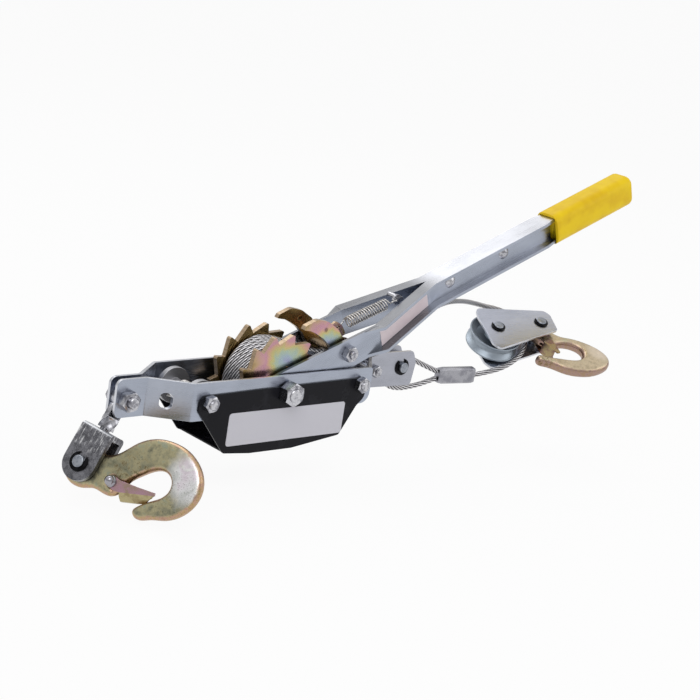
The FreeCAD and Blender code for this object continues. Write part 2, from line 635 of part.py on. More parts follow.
def lever():
    """Two channels forked round the drum and riveted back to back, with their grip and a bare sticker."""
    place = lever_placement()
    path = [(-FORK_R, LEVER_IN), (FORK_END, LEVER_IN), (MERGE, 0), (LEVER_LENGTH, 0)]
    side = [(-FORK_R, FORK_R, FORK_R - 0.5), (FORK_END, LEVER_UP, 40), (LEVER_LENGTH, LEVER_UP, 1),
            (LEVER_LENGTH, -LEVER_DOWN, 1), (FORK_END, -LEVER_DOWN, 40), (-FORK_R, -FORK_R, FORK_R - 0.5)]
    web = band(path, LEVER_PLATE, BEND, -FORK_R, FORK_R).common(plate(side, -1, LEVER_OUT + 1))
    flange_path = [(FLANGE_START, LEVER_IN)] + path[1:]
    wide = LEVER_PLATE + FLANGE
    reach = LEVER_OUT + FLANGE
    in_grip = LEVER_PLATE + GRIP_FLANGE
    nose = [(FLANGE_START, LEVER_IN, 0), (FLANGE_START, LEVER_OUT, 0), (FLANGE_FULL, reach + 2, 9),
            (GRIP_FROM - 12, reach + 2, 0), (GRIP_FROM - 12, wide, 0), (GRIP_FROM - 2, in_grip, 3),
            (LEVER_LENGTH + 1, in_grip, 0), (LEVER_LENGTH + 1, -1, 0), (MERGE, -1, 0)]
    half = web
    for low, high in ((LEVER_UP - LEVER_PLATE, LEVER_UP), (-LEVER_DOWN, -LEVER_DOWN + LEVER_PLATE)):
        flange = band(flange_path, wide, BEND, low, high).common(slab(nose, low, high))
        half = half.fuse(flange)
    half = half.removeSplitter()
    half = half.cut(pin(0, 0, AXLE_R + RUN_FIT, 0, LEVER_OUT + 1))
    for at in RIVET_AT:
        half = half.cut(pin(at, RIVET_LEVEL, RIVET_R + RUN_FIT, -1, LEVER_PLATE + 1))
    far = moved(half, place).cut(pin(PAWL_X, PAWL_Z, PAWL_R + RUN_FIT, 0, LEVER_OUT + 1))
    save("far_handle_half", far)
    save("near_handle_half", mirrored(far))
    rivets = []
    for at in RIVET_AT:
        curve = (RIVET_HEAD ** 2 + RIVET_DOME ** 2) / (2 * RIVET_DOME)
        shank = pin(at, RIVET_LEVEL, RIVET_R, -LEVER_PLATE, LEVER_PLATE)
        ball = Part.makeSphere(curve, V(at, LEVER_PLATE + RIVET_DOME - curve, RIVET_LEVEL))
        head = ball.common(pin(at, RIVET_LEVEL, RIVET_HEAD + 0.5, LEVER_PLATE, LEVER_PLATE + RIVET_DOME + 1))
        rivets.append(moved(shank.fuse([head, mirrored(head)]), place))
    save("handle_rivets", Part.makeCompound(rivets))
    grip_outline = [(GRIP_HALF, GRIP_UP, GRIP_ROUND), (GRIP_HALF, -GRIP_DOWN, GRIP_ROUND),
                    (-GRIP_HALF, -GRIP_DOWN, GRIP_ROUND), (-GRIP_HALF, GRIP_UP, GRIP_ROUND)]
    wire = outline_wire(grip_outline, lambda p: V(GRIP_FROM, p.x, p.y))
    grip = Part.Face(wire).extrude(V(GRIP_TO - GRIP_FROM, 0, 0))
    ends = [edge for edge in grip.Edges if abs(edge.CenterOfMass.x - GRIP_TO) < 1e-6]
    grip = grip.makeFillet(0.75 * GRIP_ROUND, ends)
    room = in_grip + FACE_GAP + 0.3
    cavity_outline = [(room, LEVER_UP + 0.3, 1), (room, -LEVER_DOWN - 0.3, 1), (-room, -LEVER_DOWN - 0.3, 1),
                      (-room, LEVER_UP + 0.3, 1)]
    cavity_wire = outline_wire(cavity_outline, lambda p: V(GRIP_FROM - 1, p.x, p.y))
    cavity = Part.Face(cavity_wire).extrude(V(LEVER_LENGTH + 0.3 - GRIP_FROM + 1, 0, 0))
    save("handle_grip", moved(grip.cut(cavity), place))
    slope = V(MERGE - FORK_END, -LEVER_IN, 0)
    long = slope.Length
    run = slope.normalize()
    out = V(-run.y, run.x, 0)
    origin = V(FORK_END, LEVER_IN, 0) + out * LEVER_PLATE
    ends = [origin + run * STICKER_ENDS[0], origin + run * (long - STICKER_ENDS[1])]
    sticker_path = [(point.x, point.y) for point in ends]
    sticker = band(sticker_path, 0.3, 0, -LEVER_DOWN + LEVER_PLATE + 0.4, 5.0)
    save("handle_label", mirrored(moved(sticker, place)))


def drive_pawl():
    """Two-cheeked pawl hung between the lever's fork arms, its bolt, its spring and the spring's post."""
    cheek = [(18.8, 51.6, 0.6), (20.6, 55.2, 1.5), (33.9, 60.6, 12), (46.5, 58, 12), (60, 50, 8), (66, 42.5, 5),
             (PAWL_X + 9.5, PAWL_Z + 10, 9), (PAWL_X + 12, PAWL_Z - 4, 9), (PAWL_X - 2, PAWL_Z - 12.5, 9),
             (58, 26.5, 8), (52, 35.5, 6), (44, 42, 8), (34.5, 47.3, 6), (27.5, 50.2, 4)]
    far = plate(cheek, DRUM_HALF, RATCHET_OUT)
    inner_r = DRIVE_WEB_R - DRIVE_WEB
    web = collar(PAWL_X, PAWL_Z, DRIVE_WEB_R, inner_r, -DRUM_HALF, DRUM_HALF)
    quarter = [(PAWL_X, PAWL_Z, 0), (PAWL_X, PAWL_Z + 20, 0), (PAWL_X - 20, PAWL_Z + 20, 0), (PAWL_X - 20, PAWL_Z, 0)]
    web = web.common(plate(quarter, -DRUM_HALF, DRUM_HALF))
    half = LEVER_IN - SIDE_GAP
    tube = pin(PAWL_X, PAWL_Z, DRIVE_TUBE_R, -half, half)
    low = TAB_Y - TAB_THICK / 2
    tab = plate([(60.8, 35, 0), (61.6, 50, 3), (66.5, 54.2, 4), (74.5, 50, 4), (80.2, 42, 2), (76.5, 38.6, 2),
                 (71.3, 39.5, 1), (66, 37.8, 0)], low, low + TAB_THICK)
    tab = tab.cut(pin(*SPRING_HOLE, SPRING_WIRE / 2 + 0.9, low - 1, low + TAB_THICK + 1))
    body = far.fuse([mirrored(far), web, tube, tab])
    body = body.cut(pin(PAWL_X, PAWL_Z, PAWL_R + RUN_FIT, -half - 1, half + 1)).removeSplitter()
    save("drive_pawl", body)
    end = LEVER_OUT + PAWL_NUT + THREAD_END + 1
    save("pawl_bolt", bolt(PAWL_X, PAWL_Z, PAWL_R, PAWL_FLATS, 5.3, -end, LEVER_OUT, 10))
    save("pawl_nut", nut(PAWL_X, PAWL_Z, PAWL_R, PAWL_FLATS, -LEVER_OUT - PAWL_NUT, -LEVER_OUT, 10))
    post_x, post_z = SPRING_POST
    post_low = TAB_Y + 1.0
    ear = pin(post_x + 1.5, post_z, 5.0, post_low, post_low + TAB_THICK)
    ear = ear.cut(pin(post_x, post_z, SPRING_WIRE / 2 + 0.9, post_low - 1, post_low + TAB_THICK + 1))
    bar = pin(post_x + 6.5, post_z + 0.5, 2.5, post_low, 14.0)
    lever_run = lever_placement().Rotation.multVec(V(1, 0, 0))
    web_start = V(FORK_END, 0, 0)
    inner_wall = band([(FORK_END - 30, LEVER_IN - 0.02), (FORK_END, LEVER_IN - 0.02), (MERGE, -0.02)], 30, 0, -60, 60)
    bar = bar.cut(moved(inner_wall, lever_placement()))
    save("spring_post", ear.fuse(bar).removeSplitter())
    pawl_spring()


def pawl_spring():
    """Extension spring from the pawl's tab to the post on the lever, with a hook at each end."""
    first = V(SPRING_HOLE[0], TAB_Y, SPRING_HOLE[1])
    last = V(SPRING_POST[0], TAB_Y + 1.0 + TAB_THICK / 2, SPRING_POST[1])
    axis = (last - first).normalize()
    side = axis.cross(Y_AXIS).normalize()
    hook_long = 14.0
    body_long = (last - first).Length - 2 * hook_long
    pitch = body_long / SPRING_TURNS
    start = first + axis * hook_long
    turns = helix_stations(start, axis, side, SPRING_COIL_R, pitch, 0.0, SPRING_TURNS)
    cross = axis.cross(side)
    loop = 3.4
    start_hook = [
        (first - side * 0.6 - axis * 0.6 + cross * 3.0, cross * -1),
        (first - side * 0.6 - axis * 0.6, cross * -1),
    ]
    lead = start - axis * 5.0 + side * 1.2 + cross * -3.4
    start_hook += [(first + axis * 3.2 - cross * loop, axis), (lead, axis)]
    tail = turns[-1][0] + axis * 5.0 - side * 3.4 + cross * 3.4
    end_hook = [(tail, axis), (last - axis * 3.2 + cross * loop, axis),
                (last + side * 0.6 + axis * 0.6, cross * -1), (last + side * 0.6 + axis * 0.6 - cross * 3.0, cross * -1)]
    spring = wire_form(start_hook + turns + end_hook, SPRING_WIRE / 2)
    save("pawl_spring", spring)
    print("pawl spring: least gap between coils", round(pitch - SPRING_WIRE, 2))


def rope_anchor():
    """Bracket at the frame's tail with the pin that holds the rope's eye."""
    flare = FRAME_IN - BRACKET_PLATE
    path = [(176.7, BRACKET_IN), (BRACKET_BEND, BRACKET_IN), (101, flare), (BRACKET_TAIL, flare)]
    corners = [(BRACKET_TAIL, -12, 3), (BRACKET_TAIL, 11, 3), (101, 12, 10), (131, 20, 10), (171, 19.5, 5),
               (176.7, 8.3, 5), (173.7, -14.6, 4), (131, -13.3, 20)]
    far = band(path, -BRACKET_PLATE, BEND, -16, 21).common(plate(corners, 0, FRAME_IN + 1))
    for x, z, radius in ((RIGHT_X, RIGHT_Z, COVER_R), (ANCHOR_X, ANCHOR_Z, ANCHOR_R), (PIN_X, PIN_Z, PIN_R)):
        far = far.cut(pin(x, z, radius + HOLE_FIT, 0, FRAME_IN + 1))
    save("far_anchor_plate", far)
    save("near_anchor_plate", mirrored(far))
    seat = BRACKET_IN + BRACKET_PLATE
    end = seat + ANCHOR_NUT + THREAD_END
    save("anchor_bolt", bolt(ANCHOR_X, ANCHOR_Z, ANCHOR_R, ANCHOR_FLATS, 4.0, -end, seat, 20))
    save("anchor_nut", nut(ANCHOR_X, ANCHOR_Z, ANCHOR_R, ANCHOR_FLATS, -seat - ANCHOR_NUT, -seat, 20))
    save("anchor_spacer", collar(ANCHOR_X, ANCHOR_Z, 6.0, ANCHOR_R + HOLE_FIT, -BRACKET_IN, BRACKET_IN))
    place = FreeCAD.Placement(V(PIN_X, 0, PIN_Z), FreeCAD.Rotation())
    save("anchor_pin", moved(grooved_pin(PIN_R, seat + 4.5, seat + FACE_GAP), place))
    near = clip(8.0, PIN_R, -seat - FACE_GAP - CLIP_THICK, 100)
    far_clip = clip(8.0, PIN_R, seat + FACE_GAP, 100)
    save("anchor_pin_clips", moved(Part.makeCompound([near, far_clip]), place))


def link_placement():
    """Frame of the head link: origin on the head bolt, Z up along the link."""
    return FreeCAD.Placement(V(HEAD_X, 0, HEAD_Z), FreeCAD.Rotation(Y_AXIS, LINK_TILT))


def clevis_placement():
    """Frame of the clevis: origin on its pin, Y along the pin, Z up along the link."""
    down = FreeCAD.Placement(V(0, 0, -LINK_LENGTH), FreeCAD.Rotation(Z_AXIS, SWIVEL))
    return link_placement().multiply(down)


def head_link():
    """Forged link: flat eye on the head bolt, twisted bar, and a round neck with a retaining head."""
    half = LINK_THICK / 2
    eye = collar(0, 0, LINK_EYE_R, HEAD_R + RUN_FIT, -half, half)
    sections = []
    bar_low = -(LINK_LENGTH - BRIDGE_LOW - CLEVIS_PLATE) + 1.5
    steps = 6
    for step in range(steps + 1):
        share = step / steps
        level = TWIST_FROM + (bar_low - TWIST_FROM) * share
        corners = [(LINK_BAR / 2, half), (-LINK_BAR / 2, half), (-LINK_BAR / 2, -half), (LINK_BAR / 2, -half)]
        points = [V(*turned(x, y, SWIVEL * share), level) for x, y in corners]
        sections.append(Part.makePolygon(points + points[:1]))
    bar = Part.makeLoft(sections, True, False)
    flat = Part.makeBox(LINK_BAR, LINK_THICK, -TWIST_FROM, V(-LINK_BAR / 2, -half, TWIST_FROM))
    bar = bar.fuse(flat)
    neck_low = -(LINK_LENGTH - NECK_HEAD_AT)
    head_r = CLEVIS_IN - SIDE_GAP
    head_top = -(LINK_LENGTH - BRIDGE_LOW) - SIDE_GAP
    profile = [(0, neck_low), (head_r - 1, neck_low), (head_r, neck_low + 1), (head_r, head_top),
               (NECK_R, head_top), (NECK_R, bar_low + 1), (0, bar_low + 1)]
    neck = revolved(profile, ORIGIN, Z_AXIS)
    shoulder = bar.cut(pin(0, 0, HEAD_R + RUN_FIT, -LINK_BAR, LINK_BAR))
    save("head_link", moved(eye.fuse([shoulder, neck]).removeSplitter(), link_placement()))


def clevis():
    """U-shaped clevis that swivels on the link's neck, with its pin and clips."""
    place = clevis_placement()
    top = BRIDGE_LOW + CLEVIS_PLATE
    out = CLEVIS_IN + CLEVIS_LEG
    half = CLEVIS_HALF
    outline = [(-half, -half, half - 0.1), (half, -half, half - 0.1), (half, top, 0), (-half, top, 0)]
    block = plate(outline, -out, out)
    arch = [(-CLEVIS_IN, -20, 0), (CLEVIS_IN, -20, 0), (CLEVIS_IN, BRIDGE_LOW, 0.6), (-CLEVIS_IN, BRIDGE_LOW, 0.6)]
    gap_wire = outline_wire(arch, lambda p: V(-20, p.x, p.y))
    body = block.cut(Part.Face(gap_wire).extrude(V(40, 0, 0)))
    shoulders = [edge for edge in body.Edges if abs(edge.CenterOfMass.z - top) < 1e-6
                 and abs(abs(edge.CenterOfMass.y) - out) < 1e-6]
    body = body.makeFillet(4.0, shoulders)
    body = body.cut(Part.makeCylinder(NECK_R + RUN_FIT, 20, V(0, 0, BRIDGE_LOW - 5), Z_AXIS))
    body = body.cut(pin(0, 0, CLEVIS_PIN_R + HOLE_FIT, -out - 1, out + 1))
    save("clevis", moved(body, place))
    save("clevis_pin", moved(grooved_pin(CLEVIS_PIN_R, out + 3.2, out + FACE_GAP), place))
    near = clip(8.5, CLEVIS_PIN_R, -out - FACE_GAP - CLIP_THICK, 80)
    far = clip(8.5, CLEVIS_PIN_R, out + FACE_GAP, 80)
    save("clevis_clips", moved(Part.makeCompound([near, far]), place))


def latch_placement(place, pivot, tip):
    """Frame of a latch: origin on its rivet, X towards its tip, Z towards the inside of the hook."""
    angle = math.degrees(math.atan2(tip[1] - pivot[1], tip[0] - pivot[0]))
    here = FreeCAD.Placement(V(pivot[0], 0, pivot[1]), FreeCAD.Rotation(HINGE, angle))
    return place.multiply(here)


def latch_pocket():
    """Pocket in a hook's mid-plane round the latch's rivet that takes the torsion spring."""
    half = LATCH_POCKET / 2
    ring = pin(0, 0, POCKET_R, -half, half)
    wedge = [(0, 0, 0), (*polar(POCKET_REACH, -55), 0), (*polar(POCKET_REACH * 1.1, -15), 0), (*polar(POCKET_REACH, 25), 0)]
    return ring.fuse(plate(wedge, -half, half))


def latch_parts(prefix, place, length, web_start, web_end, deep, ball_r):
    """Sprung hook latch: two cheeks joined by a web, a ball-headed rivet and a torsion spring."""
    inner = HOOK_THICK / 2 + LATCH_SIDE
    outer = inner + LATCH_SHEET
    cheek = [(-5, 5, 4.9), (-5, -5, 4.9), (web_start, -WEB_DROP, 2), (length, WEB_RISE - WEB_DROP, 1.5),
             (length, WEB_RISE - WEB_DROP + deep, 1), (12, deep - 0.5, 4), (4, 5.5, 4)]
    far = plate(cheek, inner, outer)
    slope = WEB_RISE / (length - web_start)
    low = -WEB_DROP
    high = low + slope * (web_end - web_start)
    web = plate([(web_start, low, 0), (web_end, high, 0), (web_end, high + LATCH_SHEET, 0),
                 (web_start, low + LATCH_SHEET, 0)], -inner, inner)
    body = far.fuse([mirrored(far), web]).removeSplitter()
    body = body.cut(pin(0, 0, LATCH_PIN_R + RUN_FIT, -outer - 1, outer + 1))
    save(prefix + "_latch", moved(body, place))
    seat = outer + FACE_GAP
    shank = pin(0, 0, LATCH_PIN_R, -seat - 0.5, seat + 0.5)
    ball = Part.makeSphere(ball_r, V(0, seat + 0.4 * ball_r, 0))
    ball = ball.common(Part.makeBox(20, 20, 20, V(-10, seat, -10)))
    save(prefix + "_latch_rivet", moved(shank.fuse([ball, mirrored(ball)]), place))
    coil_r = LATCH_PIN_R + LATCH_WIRE + 0.35
    start = V(0, -0.75 * LATCH_PITCH, 0)
    turns = helix_stations(start, Y_AXIS, V(1, 0, 0), coil_r, LATCH_PITCH, 0.75, -1.5)
    first_point, first_way = turns[0]
    last_point, last_way = turns[-1]
    leg_end = V(web_start + 1.5, last_point.y, low + LATCH_SHEET + LATCH_WIRE + 0.4)
    leg_way = (leg_end - last_point).normalize()
    stations = [(first_point - first_way, first_way)] + turns + [(leg_end, leg_way)]
    save(prefix + "_latch_spring", moved(wire_form(stations, LATCH_WIRE), place))


def anchor_hook():
    """Forged grab hook in the clevis."""
    outline = [(-19, 0), (-13.5, 13.5), (0, 19), (12, 15.5), (22, 19.5), (35, 36), (48, 46.5), (62, 51), (76, 51.5),
               (90, 47.5), (102, 39), (108.5, 27), (108, 13), (101, 0.5), (90, -8), (78, -13.2), (66, -17.5),
               (61.5, -14), (65, -6.5), (72, 0.5), (79, 7), (82.5, 15), (80, 23), (71, 27), (61, 23), (52.5, 14.5),
               (45.5, 5), (42, -6), (35, -12.5), (26, -13.2), (17, -13.8), (9, -17.5), (-1, -19.2), (-13.5, -13.5)]
    place = clevis_placement()
    hook = smooth_plate(outline, HOOK_THICK, HOOK_ROUND)
    hook = hook.cut(pin(0, 0, CLEVIS_PIN_R + RUN_FIT, -HOOK_THICK, HOOK_THICK))
    hook = hook.cut(pin(*ANCHOR_LATCH_AT, LATCH_PIN_R + RUN_FIT, -HOOK_THICK, HOOK_THICK))
    at_latch = latch_placement(FreeCAD.Placement(), ANCHOR_LATCH_AT, ANCHOR_LATCH_TIP)
    save("anchor_hook", moved(hook.cut(moved(latch_pocket(), at_latch)), place))
    latch_parts("anchor", place.multiply(at_latch), 40.5, 12, 31, 6.0, ANCHOR_BALL_R)


def block_placement():
    """Frame of the pulley block: origin at the pulley's centre, X towards the hook, Y along the pins."""
    return FreeCAD.Placement(BLOCK_AT, FreeCAD.Rotation(*BLOCK_TURNS))


def pulley_block():
    """Block plates, pulley, pins and clips."""
    place = block_placement()
    out = BLOCK_IN + BLOCK_PLATE
    corners = [(-15, 16.5, 3), (-10, 30, 7), (HOOK_PIN_X + 14.5, 16.5, 7), (HOOK_PIN_X + 17.5, 9, 4),
               (HOOK_PIN_X + 13, -13.5, 4), (-15.5, -31.3, 6), (-19.3, -22, 4)]
    far = plate(corners, BLOCK_IN, out)
    for x in (0, HOOK_PIN_X):
        far = far.cut(pin(x, 0, BLOCK_PIN_R + HOLE_FIT, 0, out + 1))
    save("block_far_plate", moved(far, place))
    save("block_near_plate", moved(mirrored(far), place))
    groove_half = ROPE / 2 + 1.4
    hub = BLOCK_PIN_R + RUN_FIT
    profile = [(hub, -PULLEY_HALF), (PULLEY_HUB_R, -PULLEY_HALF), (PULLEY_HUB_R + 1.5, -PULLEY_HALF + PULLEY_DISH),
               (GROOVE_R - 3, -PULLEY_HALF + PULLEY_DISH), (PULLEY_R - PULLEY_RIM, -PULLEY_HALF),
               (PULLEY_R, -PULLEY_HALF), (PULLEY_R, -PULLEY_HALF + PULLEY_RIM), (GROOVE_R + 1.5, -groove_half),
               (GROOVE_R, -groove_half + 1.5)]
    far_half = [(radius, -along) for radius, along in profile[::-1]]
    save("pulley", moved(revolved(profile + far_half, V(0, PULLEY_OFF, 0), Y_AXIS), place))
    save("pulley_pin", moved(grooved_pin(BLOCK_PIN_R, out + 3.0, out + FACE_GAP), place))
    pin_at = FreeCAD.Placement(V(HOOK_PIN_X, 0, 0), FreeCAD.Rotation())
    hook_place = place.multiply(pin_at)
    save("hook_pin", moved(grooved_pin(BLOCK_PIN_R, out + 3.0, out + FACE_GAP), hook_place))
    near = clip(7.2, BLOCK_PIN_R, -out - FACE_GAP - CLIP_THICK, 90)
    far_clip = clip(7.2, BLOCK_PIN_R, out + FACE_GAP, 90)
    rings = Part.makeCompound([near, far_clip])
    save("block_clips", Part.makeCompound([moved(rings, place), moved(rings, hook_place)]))
    outline = [(-12.5, 0), (-8.9, 8.9), (0, 12.5), (9, 8.8), (13, -1), (19, -10.8), (30.7, -16.5), (42.6, -24),
               (51.2, -32.2), (56.8, -41.8), (58, -51), (53.8, -59), (42.5, -65), (27, -67.3), (12, -64.8),
               (-0.5, -58.8), (-10, -50.6), (-17.5, -45.8), (-22.5, -42.8), (-24, -38.4), (-20.2, -34.9),
               (-14.5, -36.6), (-7, -40.2), (2, -43.4), (12, -46.6), (20, -47.9), (26.8, -46.2), (31.3, -41.8),
               (33.6, -35.8), (32, -30.8), (27, -26.2), (19, -23.2), (11.5, -23), (4.5, -22.8), (-1.2, -19.8),
               (-5.4, -15), (-9.2, -8.5)]
    hook = smooth_plate(outline, HOOK_THICK, HOOK_ROUND)
    hook = hook.cut(pin(0, 0, BLOCK_PIN_R + RUN_FIT, -HOOK_THICK, HOOK_THICK))
    hook = hook.cut(pin(*LOAD_LATCH_AT, LATCH_PIN_R + RUN_FIT, -HOOK_THICK, HOOK_THICK))
    at_latch = latch_placement(FreeCAD.Placement(), LOAD_LATCH_AT, LOAD_LATCH_TIP)
    save("load_hook", moved(hook.cut(moved(latch_pocket(), at_latch)), hook_place))
    latch_parts("load", hook_place.multiply(at_latch), 27.5, 10, 24, 4.0, LOAD_BALL_R)


def rope_parts():
    """Rope from the drum over the pulley and back, its eye round the anchor pin, and the pressed ferrule."""
    # The rope's route from the drum's tail, under the lever, over the pulley and back to the ferrule.
    run = [(29.2, 13.3, 30.2), (56, 13.3, 23.2), (80, 11, 17.5), (106, 7, 18.5), (132, 3.5, 24), (155, 1, 35),
           (177, 0, 48), (199, 0, 57.5), (225, 10.6, 58.3), (253.3, 23.6, 54.7), (280.7, 34.2, 49.9),
           (301, 38.6, 45.1), (315.4, 41, 41.4), (328, 37, 39.6), (338, 27.2, 36.6), (341.8, 14, 29.7),
           (337.9, 1.3, 21.2), (329.5, -9.2, 13.7), (316.1, -16.2, 6.3), (297.1, -18.9, -1.5), (281.6, -14.3, -7.7),
           (264.9, -6.2, -12.6)]
    save("rope_run", rope_run("rope_run", run, ROPE / 2))
    # The eye's route from the ferrule round the pin and back to the ferrule.
    eye = [(217.6, 0, -7.2), (204, 0, -2), (186, 0, 5.5), (167.5, 0, 12.3), (151.5, 0, 12.3), (143.5, 0, -2),
           (151.5, 0, -16.8), (170, 0, -21.2), (189, 0, -20), (204.5, 0, -17.6), (217.6, 0, -14.8)]
    save("rope_eye", rope_run("rope_eye", eye, ROPE / 2))
    length = (FERRULE_RIGHT - FERRULE_LEFT).Length
    high = FERRULE_HIGH
    wide = FERRULE_WIDE
    corners = [(0, -high + 1.6, 0), (0, high - 1.6, 0), (6, high, 2), (length - 2, high, 1), (length, high - 1.5, 0),
               (length, -high + 1.5, 0), (length - 2, -high, 1), (6, -high, 2)]
    side = plate(corners, -wide, wide)
    facet = 2.2
    section = [(-wide, high - facet, 0), (-wide + facet, high, 0), (wide - facet, high, 0), (wide, high - facet, 0),
               (wide, -high + facet, 0), (wide - facet, -high, 0), (-wide + facet, -high, 0), (-wide, -high + facet, 0)]
    bar = Part.Face(outline_wire(section, lambda p: V(0, p.x, p.y))).extrude(V(length, 0, 0))
    turn = FreeCAD.Rotation(V(1, 0, 0), FERRULE_RIGHT - FERRULE_LEFT)
    save("rope_ferrule", moved(side.common(bar), FreeCAD.Placement(FERRULE_LEFT, turn)))


os.makedirs("parts", exist_ok=True)
frame_plates()
belly_cover()
frame_fasteners()
ratchet_wheels()
drum()
stop_pawl()
lever()
drive_pawl()
rope_anchor()
head_link()
clevis()
anchor_hook()
pulley_block()
rope_parts()
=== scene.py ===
"""Looks of a hand-lever cable puller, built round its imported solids.

Every piece is in metres in the solids' own frame: X along the puller towards the lever's grip, Y away from
the labelled side, Z up, with the belly cover's flat bottom at Z = 0. Places in millimetres are measured from
the drum's axle and go through at().
"""

from __future__ import annotations

import json
import logging
import math
from abc import ABC, abstractmethod
from dataclasses import dataclass, field
from enum import Enum
from typing import Any, Iterable, Sequence

import bmesh
import bpy
from mathutils import Euler, Matrix, Vector
from mathutils.kdtree import KDTree

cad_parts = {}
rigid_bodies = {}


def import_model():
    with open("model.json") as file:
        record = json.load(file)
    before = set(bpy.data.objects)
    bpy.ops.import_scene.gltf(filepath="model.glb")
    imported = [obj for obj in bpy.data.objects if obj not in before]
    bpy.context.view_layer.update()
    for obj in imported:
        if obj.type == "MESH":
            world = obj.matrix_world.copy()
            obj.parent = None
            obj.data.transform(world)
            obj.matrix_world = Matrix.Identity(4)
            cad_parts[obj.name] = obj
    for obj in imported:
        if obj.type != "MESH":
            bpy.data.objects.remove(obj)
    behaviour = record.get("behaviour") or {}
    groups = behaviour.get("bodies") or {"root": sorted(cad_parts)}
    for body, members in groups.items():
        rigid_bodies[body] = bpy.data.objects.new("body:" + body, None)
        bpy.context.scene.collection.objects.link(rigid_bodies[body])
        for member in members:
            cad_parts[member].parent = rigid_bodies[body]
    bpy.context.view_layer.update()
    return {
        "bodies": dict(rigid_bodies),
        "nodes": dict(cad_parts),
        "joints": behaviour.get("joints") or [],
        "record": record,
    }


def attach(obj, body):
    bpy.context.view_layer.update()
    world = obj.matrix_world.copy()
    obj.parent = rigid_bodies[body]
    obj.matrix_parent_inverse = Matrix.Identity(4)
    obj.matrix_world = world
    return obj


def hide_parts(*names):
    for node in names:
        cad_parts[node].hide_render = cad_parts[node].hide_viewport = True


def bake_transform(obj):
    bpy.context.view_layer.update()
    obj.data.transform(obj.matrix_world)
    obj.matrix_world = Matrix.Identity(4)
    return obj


Colour = tuple[float, float, float]
Point = tuple[float, float, float]
Stops = tuple[tuple[float, Colour], ...]

MM = 0.001
FULL_TURN = 2 * math.pi
AXLE_HEIGHT = 53.4
ROPE = 4.8
PATTERN_MIDDLE = 0.5
ORIGIN: Point = (0.0, 0.0, 0.0)
LEVEL: Point = (0.0, 0.0, 0.0)
SIDEWAYS: Point = (0.0, 1.0, 0.0)
UPWARDS: Point = (0.0, 0.0, 1.0)
WHITE: Colour = (1.0, 1.0, 1.0)
ALONG_BOLTS = Matrix(((1, 0, 0, 0), (0, 0, -1, 0), (0, 1, 0, 0), (0, 0, 0, 1)))

log = logging.getLogger("puller")


def at(x: float, y: float, z: float) -> Vector:
    """Point in metres from millimetres measured from the drum's axle."""
    return Vector((x * MM, y * MM, (z + AXLE_HEIGHT) * MM))


def rgba(colour: Colour) -> tuple[float, float, float, float]:
    """The colour with full opacity."""
    return (*colour, 1.0)


def put_in_scene(name: str, data: Any) -> bpy.types.Object:
    """A new object in the scene.

    Args:
        name: the object's name.
        data: its mesh, curve, camera or lamp.

    Returns:
        The object.
    """
    piece = bpy.data.objects.new(name, data)
    bpy.context.scene.collection.objects.link(piece)
    return piece


def evaluated_mesh(piece: bpy.types.Object) -> bpy.types.Mesh:
    """A plain mesh of what an object's modifiers or curve settings make.

    Args:
        piece: the object, which stays as it is.

    Returns:
        The new mesh.
    """
    bpy.context.view_layer.update()
    graph = bpy.context.evaluated_depsgraph_get()
    return bpy.data.meshes.new_from_object(piece.evaluated_get(graph), depsgraph=graph)


class Signal:
    """What a node's output carries; Python's operators on it add Math nodes."""

    def __init__(self, tree: NodeTree, socket: bpy.types.NodeSocket) -> None:
        """Wraps a socket.

        Args:
            tree: the tree that holds the socket.
            socket: the output socket.
        """
        self.tree = tree
        self.socket = socket

    def __add__(self, other: Operand) -> Signal:
        """Sum."""
        return self.tree.math("ADD", self, other)

    def __radd__(self, other: Operand) -> Signal:
        """Sum with the number first."""
        return self.tree.math("ADD", other, self)

    def __sub__(self, other: Operand) -> Signal:
        """Difference."""
        return self.tree.math("SUBTRACT", self, other)

    def __rsub__(self, other: Operand) -> Signal:
        """Difference with the number first."""
        return self.tree.math("SUBTRACT", other, self)

    def __mul__(self, other: Operand) -> Signal:
        """Product."""
        return self.tree.math("MULTIPLY", self, other)

    def __rmul__(self, other: Operand) -> Signal:
        """Product with the number first."""
        return self.tree.math("MULTIPLY", other, self)

    def __truediv__(self, other: Operand) -> Signal:
        """Quotient."""
        return self.tree.math("DIVIDE", self, other)

    def __rtruediv__(self, other: Operand) -> Signal:
        """Quotient with the number first."""
        return self.tree.math("DIVIDE", other, self)

    def __abs__(self) -> Signal:
        """Size without its sign."""
        return self.tree.math("ABSOLUTE", self)

    def sway(self, amount: float) -> Signal:
        """How far a pattern lies above or below its middle, times an amount."""
        return (self - PATTERN_MIDDLE) * amount

    def step(self, low: float, high: float, start: float = 0.0, end: float = 1.0) -> Signal:
        """Smooth rise as the value goes from low to high.

        Args:
            low: the value at which the rise starts.
            high: the value at which it ends.
            start: what it gives below low.
            end: what it gives above high.

        Returns:
            The risen value.
        """
        return self.tree.make(
            "ShaderNodeMapRange",
            {"interpolation_type": "SMOOTHSTEP"},
            {"Value": self, "From Min": low, "From Max": high, "To Min": start, "To Max": end},
            "Result",
        )


Operand = Signal | float


